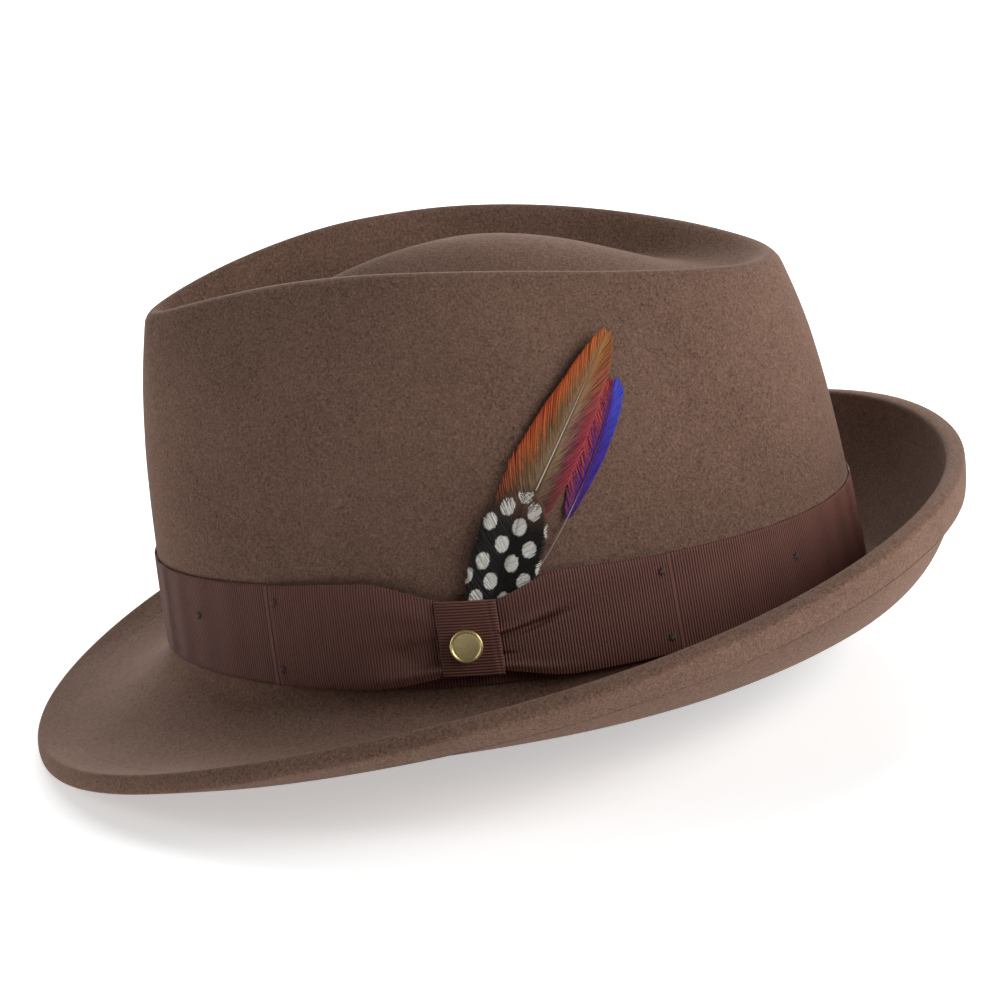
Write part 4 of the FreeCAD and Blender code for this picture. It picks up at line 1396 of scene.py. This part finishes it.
# ------------------------------------------------------------------ stud
@dataclass
class Stud:
    """Turned brass stud with a raised rim, over its rivet."""

    crown: Crown
    angle: float = 81.55
    height: float = 12.5
    back: float = 5.85

    def build(self, palette: Palette) -> bpy.types.Object:
        """Turn the profile round the stud's axis: back, rounded rim, step and slightly domed face."""
        centre, normal, up = self.crown.frame_at(np.array(self.angle), np.array(self.height), np.array(self.back))
        side = np.cross(up, normal)
        profile = [(0.9, 0.8), (0.9, 0.0), (4.2, 0.0), (4.5, 0.08), (4.6, 0.3), (4.6, 1.1), (4.55, 1.32),
                   (4.42, 1.45), (4.22, 1.5), (4.02, 1.44), (3.92, 1.32), (3.88, 1.2), (3.8, 1.15), (3.2, 1.16),
                   (2.2, 1.2), (1.0, 1.22), (0.3, 1.225)]
        a = np.linspace(0, TURN, 128, endpoint=False)
        ring = side[None] * np.cos(a)[:, None] + up[None] * np.sin(a)[:, None]
        points = np.stack([centre + normal * h + ring * r for r, h in profile])
        obj = grid_object("stud_turned", points[::-1], wrap_i=False, wrap_j=True, fans=True)
        dress(obj, palette.brass, Body.HAT, "brass", "stud_cap")
        for name in ("stud_rivet",):
            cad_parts[name].data.materials.clear()
            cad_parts[name].data.materials.append(palette.brass)
        return obj


# ------------------------------------------------------------------ feathers
@dataclass
class Feather:
    """One feather laid up the crown: rachis, thin vane and the barbs on it."""

    crown: Crown
    plume: Plume
    path: tuple[tuple[float, float], tuple[float, float], tuple[float, float]]
    widths: tuple[tuple[float, float, float], ...]
    low_out: float
    high_out: float
    quill_top: float
    rake: float
    barbs: int
    ragged: float
    seed: int
    rachis_radius: float = 0.4
    flare: float = 2.2
    rachis_lift: float = 0.14

    def line(self, z: Array) -> Array:
        """Smooth curve through the three path stops: y as a quadratic in z."""
        (z0, a), (z1, b), (z2, c) = self.path
        first = a * (z - z1) * (z - z2) / ((z0 - z1) * (z0 - z2))
        second = b * (z - z0) * (z - z2) / ((z1 - z0) * (z1 - z2))
        return first + second + c * (z - z0) * (z - z1) / ((z2 - z0) * (z2 - z1))

    def width(self, z: Array, side: Array) -> Array:
        """Width of the vane at a height, to the front where side is negative and to the rear where it isn't.

        Args:
            z: height, in millimetres.
            side: negative to the front, positive to the rear.

        Returns:
            The width, in millimetres.
        """
        heights, front, rear = zip(*self.widths)
        return np.where(side < 0, np.interp(z, heights, front), np.interp(z, heights, rear))

    def painted(self, across: Array, share: Array, z: Array) -> Array:
        """Texture place: millimetres for the spotted feather, shares of the width times 8 for the others.

        Args:
            across: place across, from the quill or the middle line.
            share: share of the way from the quill to the edge.
            z: height, in millimetres.

        Returns:
            Texture places.
        """
        first = across if self.plume == Plume.GUINEA else 8.0 * share
        return np.stack(np.broadcast_arrays(first, z), -1)

    def level(self, z: Array) -> Array:
        """Distance of the vane's middle from the felt: flat by the quill, curling away at the tip."""
        top = self.widths[-1][0]
        rise = np.clip((z - self.quill_top) / 8.0, 0, 1)
        flare = self.flare * np.maximum(0.0, (z - self.quill_top) / (top - self.quill_top)) ** 2
        return self.low_out + (self.high_out - self.low_out) * rise + flare

    def place(self, across: Array, z: Array, lift: Array) -> Array:
        """Point of the feather.

        Args:
            across: distance from the rachis, in millimetres.
            z: height of the place on the rachis.
            lift: distance in front of the vane's middle.

        Returns:
            Points in millimetres.
        """
        slope = self.line(z + 0.5) - self.line(z - 0.5)
        length = np.hypot(1.0, slope)
        y = self.line(z) + across / length
        return self.crown.side(y, z - across * slope / length, self.level(z) + lift)

    @property
    def slot(self) -> str:
        """Material slot of the feather."""
        return "spotted_feather" if self.plume == Plume.GUINEA else self.plume.value + "_feather"

    def vane_low(self) -> float:
        """Height at which the vane starts."""
        return next((z for z, front, _ in self.widths if front > 0.9), self.widths[0][0])

    def web(self) -> tuple[Array, list[Array], list[Array]]:
        """Thin closed sheet behind the barbs: rows along the rachis, columns from edge to edge."""
        low, top = self.vane_low(), self.widths[-1][0]
        z = np.linspace(low, top - 0.8, 70)
        share = np.linspace(-1, 1, 11)
        zz, ss = np.meshgrid(z, share, indexing="ij")
        ends = np.sin(math.pi * np.clip((zz - low) / (top - low), 0.02, 0.98)) ** 0.25
        across = 0.92 * self.width(zz, ss) * ss * ends
        rise = self.rake * 0.5 * np.abs(across)
        zr = np.minimum(zz + rise, top)
        front = self.place(across, zr, 0.02 + self.camber(ss))
        back = self.place(across, zr, -0.08 + self.camber(ss))
        uv = self.painted(across, ss, zr)
        points = np.concatenate([front[:, ::-1], back], 1)
        both = np.concatenate([uv[:, ::-1], uv], 1)
        both = np.concatenate([both, both[:, :1]], 1)
        return grid_arrays(points, False, True, uv=both, fans=True)

    def camber(self, share: Array) -> Array:
        """Cross curve of the vane: the edges stand a little closer to the crown."""
        return -0.28 * np.abs(share) ** 1.8

    def barb_arrays(self) -> tuple[Array, list[Array], list[Array]]:
        """Barbs as thin tapered blades that leave the rachis, lean to the tip and end on the outline."""
        rng = np.random.default_rng(self.seed)
        low, top = self.vane_low(), self.widths[-1][0]
        q = np.linspace(0, 1, 9)
        parts = []
        for side in (-1.0, 1.0):
            root = np.linspace(low - 0.5, top - 1.2, self.barbs)[:, None]
            wild = rng.normal(0, 1, (self.barbs, 4))
            loose = 1.0 + 1.4 * smooth((low + 7.0 - root) / 7.0)
            reach_z = np.minimum(root + self.rake * self.width(root + 1.5, side), top + 0.8)
            wide = self.width(reach_z, side) * (1.0 + self.ragged * loose * wild[:, :1])
            wide = np.maximum(wide, 0.35)
            across = side * wide * q[None] ** 0.92
            z = root + (reach_z - root) * q[None] ** 1.25
            z = z + 0.30 * self.ragged * 6.0 * loose * wild[:, 1:2] * q[None] ** 2
            lift = 0.07 + self.camber(q[None]) + 0.05 * wild[:, 2:3] * q[None]
            lift = lift + 0.10 * loose * np.abs(wild[:, 3:4]) * q[None] ** 3
            path = self.place(across, z, lift)
            ahead = self.place(across, z, lift + 0.5)
            normal = unit(ahead - path)
            spacing = (top - low) / self.barbs
            half = 0.85 * spacing * (1.0 - 0.6 * q[None] ** 5) + 0.0 * across
            parts.append(strands(path, normal, half, 0.035, self.painted(across, side * q[None] + 0.0 * z, z)))
        return merged(parts)

    def build(self, palette: Palette) -> list[bpy.types.Object]:
        """Build the vane and the rachis."""
        name = self.plume.value
        vane = mesh_object(name + "_vane", *merged([self.web(), self.barb_arrays()]))
        dress(vane, palette.vanes[self.plume], Body.FEATHERS, self.slot, "feather_" + name)
        low, top = self.widths[0][0], self.widths[-1][0]
        z = np.linspace(low, top - 1.0, 80)
        radius = self.rachis_radius * (0.25 + 0.75 * (1 - ((z - low) / (top - low)) ** 1.6))
        bare = smooth((self.vane_low() - z) / 4.0)
        line = self.place(0.0 * z, z, self.rachis_lift * (1 - bare))
        rachis = tube(line, radius, 10, np.array([1.0, 0.0, 0.0]))
        quill = grid_object(name + "_rachis", rachis, wrap_i=False, wrap_j=True, fans=True)
        return [vane, dress(quill, palette.quills[self.plume], Body.FEATHERS, self.slot)]


def strands(path: Array, normal: Array, half: Array, thick: float,
            uv: Array) -> tuple[Array, list[Array], list[Array]]:
    """Arrays of many thin blades, each a four-cornered section carried along its path.

    Args:
        path: middle lines, shape (n, m, 3).
        normal: facing directions, the same shape.
        half: half widths, shape (n, m).
        thick: half thickness.
        uv: texture places of the middle lines, shape (n, m, 2).

    Returns:
        Grid arrays of all the blades.
    """
    n = len(path)
    along = unit(np.gradient(path, axis=1))
    across = np.cross(normal, along) * half[..., None]
    face = normal * thick
    ring = np.stack([path + across, path + face, path - across, path - face], 2)
    base = grid_arrays(ring[0], False, True, fans=True)
    tips = np.stack([path[:, 0], path[:, -1]], 1)
    verts = np.concatenate([ring.reshape(n, -1, 3), tips], 1)
    places = np.concatenate([np.repeat(uv, 4, 1), uv[:, :1], uv[:, -1:]], 1)
    count = verts.shape[1]
    shift = (np.arange(n) * count)[:, None, None]
    flat = places.reshape(-1, 2)
    polys = [(block[None] + shift).reshape(-1, block.shape[1]) for block in base[1]]
    return verts.reshape(-1, 3), polys, [flat[block] for block in polys]


@dataclass
class Plumage:
    """The mount of three feathers with the thread that binds their quills."""

    crown: Crown

    def feathers(self) -> list[Feather]:
        """The three feathers, back to front."""
        violet = Feather(self.crown, Plume.VIOLET, ((10.0, -13.0), (41.7, 15.0), (76.0, 33.0)),
                         ((9.0, 0.4, 0.4), (38.0, 0.4, 0.4), (43.0, 1.4, 1.0), (49.0, 3.8, 1.9), (56.0, 5.4, 2.8),
                          (64.0, 5.6, 3.4), (70.0, 4.8, 3.7), (74.5, 3.2, 3.2), (77.0, 1.0, 1.2)),
                         1.6, 0.625, 39.0, 1.15, 120, 0.03, 7, 0.28, 1.2)
        amber = Feather(self.crown, Plume.AMBER, ((13.0, -16.5), (50.0, 7.3), (89.5, 33.0)),
                        ((9.0, 0.4, 0.4), (32.0, 0.4, 0.4), (36.0, 1.6, 1.2), (40.0, 5.2, 2.8), (44.0, 8.2, 4.6),
                         (49.0, 9.4, 6.4), (56.0, 9.6, 7.2), (64.0, 8.2, 7.0), (72.0, 6.4, 6.2), (80.0, 4.8, 5.2),
                         (86.0, 2.8, 3.4), (89.0, 1.0, 1.0)), 1.6, 1.875, 33.0, 1.35, 190, 0.03, 11, 0.30, 2.2)
        guinea = Feather(self.crown, Plume.GUINEA, ((9.0, -13.0), (26.0, -5.6), (51.0, 5.0)),
                         ((8.5, 1.6, 1.6), (11.0, 3.4, 3.4), (16.0, 6.2, 6.0), (24.0, 8.6, 8.2), (33.0, 9.6, 9.2),
                          (40.0, 9.2, 9.0), (45.0, 7.8, 8.0), (49.0, 5.4, 6.0), (51.5, 2.6, 3.0)),
                         2.325, 2.625, 26.0, 0.75, 170, 0.02, 23, 0.16, 2.2, -0.25)
        return [violet, amber, guinea]

    def binding(self, palette: Palette) -> bpy.types.Object:
        """Thread wound level round the quills: a helix of flattened loops, seven turns high."""
        turns, per = 7, 48
        t = np.linspace(0, 1, turns * per)
        a = TURN * turns * t
        flat = np.sign(np.cos(a)) * np.abs(np.cos(a)) ** 0.6
        deep = np.sign(np.sin(a)) * np.abs(np.sin(a)) ** 0.8
        angle = 82.0 + 2.95 * flat
        height = 11.8 + 2.9 * (t - 0.5)
        path, _, _ = self.crown.frame_at(angle, height, 1.85 + 0.57 * deep)
        rope = grid_object("binding_thread", tube(path, 0.22, 7), wrap_i=False, wrap_j=True, fans=True)
        return dress(rope, palette.thread, Body.FEATHERS, "thread", "feather_binding")

    def build(self, palette: Palette) -> list[bpy.types.Object]:
        """Build the feathers and their binding."""
        made = [piece for feather in self.feathers() for piece in feather.build(palette)]
        return made + [self.binding(palette)]


# ------------------------------------------------------------------ inside of the hat
@dataclass
class Inside:
    """Sweatband, reed, rear bow, stitches and satin lining."""

    crown: Crown
    brim: Brim
    around: int = 360
    felt: float = 2.6
    gap: float = 0.15
    satin: float = 0.4
    leather: float = 1.0

    def strip(self, name: str, v_of: Array, out_of: Array, side: int, length: float) -> bpy.types.Object:
        """Closed strip round the inside.

        Args:
            name: the piece's name.
            v_of: parameter up the crown for each row.
            out_of: distance from the felt for each row and angle.
            side: 1 where the rows already turn the right way, -1 to turn them round.
            length: length round, for the texture.

        Returns:
            The strip.
        """
        th = np.linspace(0, TURN, self.around, endpoint=False)
        points = self.crown.off(th[None], v_of[:, None], out_of)
        along = np.broadcast_to(np.linspace(0, length, self.around + 1), (len(v_of) + 1, self.around + 1))
        across = np.broadcast_to(np.append(v_of, v_of[0])[:, None] * 110.0, along.shape)
        uv = np.stack([along, across], -1)
        if side < 0:
            points, uv = points[::-1], uv[::-1]
        return grid_object(name, points, wrap_i=True, wrap_j=True, uv=uv)

    def sweatband(self, palette: Palette) -> bpy.types.Object:
        """Leather strip with rounded edges that stands inside the opening."""
        th = np.linspace(0, TURN, self.around, endpoint=False)
        out, inn = -self.felt - 2 * self.gap - self.satin, -self.felt - 2 * self.gap - self.satin - self.leather
        mid, half = 0.5 * (out + inn), 0.5 * (out - inn)
        arc = np.linspace(-0.5 * math.pi, 0.5 * math.pi, 6)
        low, high = -3.0 + half, 32.0 - half
        inner_rise = np.linspace(low, high, 18)
        z = joined(inner_rise, high + half * np.cos(arc[1:-1]), inner_rise[::-1], low - half * np.cos(arc[1:-1]))
        o = joined(np.full(18, inn), mid + half * np.sin(arc[1:-1]), np.full(18, out),
                   mid - half * np.sin(arc[1:-1]))
        free = smooth((z - 18.0) / 14.0)[:, None]
        wave = 0.12 * np.sin(4 * th + 0.6) + 0.10 * np.sin(9 * th)
        obj = self.strip("sweatband_leather", z / 110.0, o[:, None] + np.minimum(0.0, wave - 0.1) * free, 1, 560.0)
        dress(obj, palette.leather, Body.HAT, "sweatband_leather", "sweatband")
        return obj

    def reed(self, palette: Palette) -> bpy.types.Object:
        """Round reed under the lower edge of the sweatband, in its tape."""
        a = np.linspace(0, TURN, 12, endpoint=False)
        z = -4.1 + 0.8 * np.sin(a)
        out = -3.5 + 0.8 * np.cos(a)
        obj = self.strip("sweatband_reed_cord", z / 110.0, np.repeat(out[:, None], self.around, 1), 1, 560.0)
        return dress(obj, palette.reed, Body.HAT, "ribbon", "sweatband_reed")

    def sweatband_row(self, palette: Palette) -> bpy.types.Object:
        """Slanted stitches along the lower edge of the sweatband."""
        count = 190
        th = np.linspace(0, TURN, count, endpoint=False)
        reach = 0.36 * TURN / count
        low = self.crown.off(th - reach, np.full(count, -1.45 / 110), np.full(count, -4.52))
        high = self.crown.off(th + reach, np.full(count, -1.05 / 110), np.full(count, -4.52))
        normal = unit(self.crown.off(th, np.full(count, -1.2 / 110), np.full(count, -6.0)) - 0.5 * (low + high))
        obj = mesh_object("sweatband_row", *stitches(low, high, normal, 0.2))
        return dress(obj, palette.thread, Body.HAT, "thread", "sweatband_stitching")

    def welt_row(self, palette: Palette) -> bpy.types.Object:
        """Stitches under the brim along the rim of the turned-under edge."""
        count = 290
        th = np.linspace(0, TURN, count, endpoint=False)
        reach = 0.40 * TURN / count
        ends = []
        for at in (th - reach, th + reach):
            s = self.brim.welt(at) - 0.4 / self.brim.waves(at, self.brim.widths)
            ends.append(self.brim.point(at, s, 2.6 + 0.30))
        s = self.brim.welt(th) - 0.4 / self.brim.waves(th, self.brim.widths)
        normal = unit(self.brim.point(th, s, 5.0) - self.brim.point(th, s, 2.6))
        obj = mesh_object("welt_row", *stitches(ends[0], ends[1], normal, 0.22))
        return dress(obj, palette.thread, Body.HAT, "thread", "welt_stitching")

    def rear_bow(self, palette: Palette) -> bpy.types.Object:
        """Small flat bow on the seam at the back: two soft loops with a wrapped middle."""
        nk, na = 90, 40
        k = np.linspace(-1, 1, nk)
        loop = np.linspace(0, TURN, na, endpoint=False)
        kk, aa = np.meshgrid(k, loop, indexing="ij")
        pinch = smooth(np.abs(kk) / 0.42)
        middle = smooth((0.16 - np.abs(kk)) / 0.03)
        height = 9.0 * (0.46 + 0.54 * pinch) * (1 - middle) + 4.6 * middle
        swell = 1.0 * np.sin(math.pi * np.clip(np.abs(kk), 0, 1)) ** 0.7 + 0.55
        swell = swell * (1 - middle) + 1.6 * middle
        close = np.sqrt(np.clip(1.0 - np.abs(kk) ** 14, 0.02, 1))
        sx = np.sign(np.sin(aa)) * np.abs(np.sin(aa)) ** 0.6
        cx = np.sign(np.cos(aa)) * np.abs(np.cos(aa)) ** 0.7
        fold = 0.16 * np.cos(3.0 * sx * math.pi) * (1 - pinch) * (1 - middle)
        deep = 0.5 * np.minimum(swell, 1.6) * close
        out = -4.47 - deep + deep * cx + fold * (cx < 0) * 0.5
        angle = 180.0 + kk * math.degrees(13.0 / 86.0) * 0.98
        rise = 14.0 + 0.5 * height * sx * close
        points = self.crown.off(np.radians(angle), rise / 110.0, out)
        along = np.broadcast_to((k * 13.0)[:, None], (nk, na + 1))
        across = np.concatenate([sx, sx[:, :1]], 1) * 4.5
        obj = grid_object("rear_bow_ribbon", points[:, ::-1], wrap_i=False, wrap_j=True,
                          uv=np.stack([along, across], -1)[:, ::-1], fans=True)
        dress(obj, palette.ribbon, Body.HAT, "ribbon", "sweatband_bow")
        return obj

    def lining(self, palette: Palette) -> list[bpy.types.Object]:
        """Satin side panel with soft upright creases, and the tip panel with a cord along its seam."""
        th = np.linspace(0, TURN, self.around, endpoint=False)
        out, inn = -self.felt - self.gap, -self.felt - self.gap - self.satin
        rise = np.linspace(20.2, 80.8, 40)
        z = joined([20.0], rise, [81.0], [81.0], rise[::-1], [20.0])
        o = joined([inn + 0.1], np.full(40, inn), [inn + 0.1], [out - 0.1], np.full(40, out), [out - 0.1])
        free = smooth((z - 34.0) / 10.0) * smooth((84.0 - z) / 8.0)
        wave = np.sin(14 * th + 0.8 * np.sin(3 * th)) + 0.7 * np.sin(23 * th + 1.1) + 0.5 * np.sin(41 * th)
        gather = -0.16 * (wave + 2.2)[None] * free[:, None]
        side = self.strip("lining_side_satin", z / 110.0, o[:, None] + gather, 1, 600.0)
        dress(side, palette.satin, Body.HAT, "satin", "lining_side")
        share = (81.0 + 1.2) / 110.0
        rim = self.crown.off(th, np.full(self.around, share), np.full(self.around, out - self.gap))
        reach = joined(np.linspace(0.02, 0.985, 40), [1.0])[:, None]
        blend = reach ** 2
        x, y = reach * rim[None, :, 0], -4.5 * (1 - reach) + reach * rim[None, :, 1]
        ripple = 0.25 * np.sin(26 * th)[None] * smooth((reach - 0.72) / 0.26) * smooth((1.0 - reach) / 0.04)
        z_low = 80.0 * (1 - blend) + rim[None, :, 2] * blend - self.satin - np.abs(ripple)
        under = np.stack([x, y, z_low], -1)
        upper = under + np.array([0.0, 0.0, self.satin])
        points = np.concatenate([upper, under[::-1]], 0)
        tip = grid_object("lining_tip_satin", points[::-1], wrap_i=False, wrap_j=True, fans=True)
        dress(tip, palette.satin, Body.HAT, "satin", "lining_tip")
        ring = self.crown.off(th, np.full(self.around, share - 0.006), np.full(self.around, inn - 0.55))
        ahead = np.roll(ring, -1, 0) - np.roll(ring, 1, 0)
        first = unit(np.cross(ahead, np.array([0.0, 0.0, 1.0])))
        second = unit(np.cross(unit(ahead), first))
        a = np.linspace(0, TURN, 8, endpoint=False)
        twist = 1.0 + 0.10 * np.sin(110 * th[:, None] + 2 * a[None])
        cord = ring[:, None] + 0.5 * twist[..., None] * (first[:, None] * np.cos(a)[None, :, None]
                                                         + second[:, None] * np.sin(a)[None, :, None])
        edge = grid_object("lining_piping", cord, wrap_i=True, wrap_j=True)
        return [side, tip, dress(edge, palette.satin, Body.HAT, "satin")]

    def build(self, palette: Palette) -> list[bpy.types.Object]:
        """Build every inside piece."""
        return [self.sweatband(palette), self.reed(palette), self.sweatband_row(palette), self.welt_row(palette),
                self.rear_bow(palette)] + self.lining(palette)


# ------------------------------------------------------------------ studio
@dataclass
class Studio:
    """Pale floor, soft lights and the camera."""

    azimuth: float = 89.5
    elevation: float = 16.0
    roll: float = -7.3
    distance: float = 1.261
    aim: tuple[float, float] = (-0.00504, 0.02816)
    lens: float = 153.2

    def floor(self) -> bpy.types.Object:
        """Wide pale floor under the lowest point of the brim."""
        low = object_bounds()[0][2] - 0.0002
        corners = np.array([[-1, -1], [1, -1], [1, 1], [-1, 1]], float) * 6000.0
        verts = np.column_stack([corners, np.full(4, low / MM)])
        obj = mesh_object("studio_floor", verts, [np.array([[0, 1, 2, 3]])])
        nodes = Nodes("floor_paper")
        noise = nodes.add("ShaderNodeTexNoise", None, Vector=object_place(nodes), Scale=9.0, Detail=2.0).outputs[0]
        nodes.set(Base_Color=mix_colour(nodes.tree, noise, colour(0.93, 0.93, 0.93), colour(0.96, 0.96, 0.96)),
                  Roughness=0.9, Specular_IOR_Level=0.1, Emission_Color=colour(1, 1, 1), Emission_Strength=0.45)
        obj.data.materials.append(nodes.material)
        obj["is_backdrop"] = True
        return obj

    def area(self, name: str, place: tuple[float, float, float], size: float, power: float,
             tint: tuple[float, float, float] = (1.0, 1.0, 1.0)) -> bpy.types.Object:
        """Square soft light that faces the crown.

        Args:
            name: the light's name.
            place: where it stands, in metres.
            size: side of the square.
            power: strength in watts.
            tint: colour.

        Returns:
            The light.
        """
        data = bpy.data.lights.new(name, "AREA")
        data.shape, data.size, data.energy, data.color = "SQUARE", size, power, tint
        obj = bpy.data.objects.new(name, data)
        obj.location = place
        aim = Vector((0.0, 0.0, 0.05)) - Vector(place)
        obj.rotation_euler = aim.to_track_quat("-Z", "Y").to_euler()
        bpy.context.scene.collection.objects.link(obj)
        return obj

    def camera(self) -> bpy.types.Object:
        """Camera on the bow side, a little above the brim and slightly rolled."""
        az, el, roll = (math.radians(a) for a in (self.azimuth, self.elevation, self.roll))
        back = Vector((math.sin(az) * math.cos(el), -math.cos(az) * math.cos(el), math.sin(el)))
        right = Vector((math.cos(az), math.sin(az), 0.0))
        up = back.cross(right)
        right_rolled = math.cos(roll) * right + math.sin(roll) * up
        up_rolled = -math.sin(roll) * right + math.cos(roll) * up
        place = back * self.distance
        aim = self.aim[0] * right_rolled + self.aim[1] * up_rolled
        depth = (place - aim).normalized()
        side = up_rolled.cross(depth).normalized()
        top = depth.cross(side)
        data = bpy.data.cameras.new("camera")
        data.lens, data.sensor_width, data.clip_end = self.lens, 36.0, 100.0
        obj = bpy.data.objects.new("camera", data)
        turn = Matrix((side, top, depth)).transposed().to_4x4()
        obj.matrix_world = Matrix.Translation(place) @ turn
        bpy.context.scene.collection.objects.link(obj)
        bpy.context.scene.camera = obj
        return obj

    def build(self) -> None:
        """Set the world, lights, floor and camera."""
        scene = bpy.context.scene
        scene.view_settings.view_transform = "Standard"
        world = bpy.data.worlds.new("studio")
        scene.world = world
        world.use_nodes = True
        world.node_tree.nodes["Background"].inputs[0].default_value = (1.0, 1.0, 1.0, 1.0)
        world.node_tree.nodes["Background"].inputs[1].default_value = 0.02
        self.area("right_side", (0.45, 1.4, 0.75), 1.0, 17.0)
        self.area("right_front", (0.85, 1.2, 0.6), 0.8, 9.8)
        self.area("left_side", (0.15, -1.5, 0.7), 1.0, 7.8)
        self.area("left_back", (-0.9, -1.3, 0.9), 1.0, 3.0)
        self.area("back", (-1.8, 0.0, 1.1), 2.0, 56.0)
        self.floor()
        self.camera()


def main() -> None:
    """Build the hat from the outside in, then the studio."""
    logging.basicConfig(level=logging.INFO)
    crown = Crown()
    brim = Brim(crown)
    palette = Palette()
    made = [FeltShell(crown, brim, around=372).build(palette)]
    ribbon = Ribbon(crown)
    made += [ribbon.band(palette), ribbon.wing("front_wing_ribbon", 47.5, "bow_front_wing", palette),
             ribbon.wing("rear_wing_ribbon", 115.0, "bow_rear_wing", palette), ribbon.knot(palette),
             ribbon.tacks(palette), Stud(crown).build(palette)]
    made += Plumage(crown).build(palette)
    made += Inside(crown, brim).build(palette)
    Studio().build()
    log.info("built %d pieces", len(made))


if __name__ == "__main__":
    main()
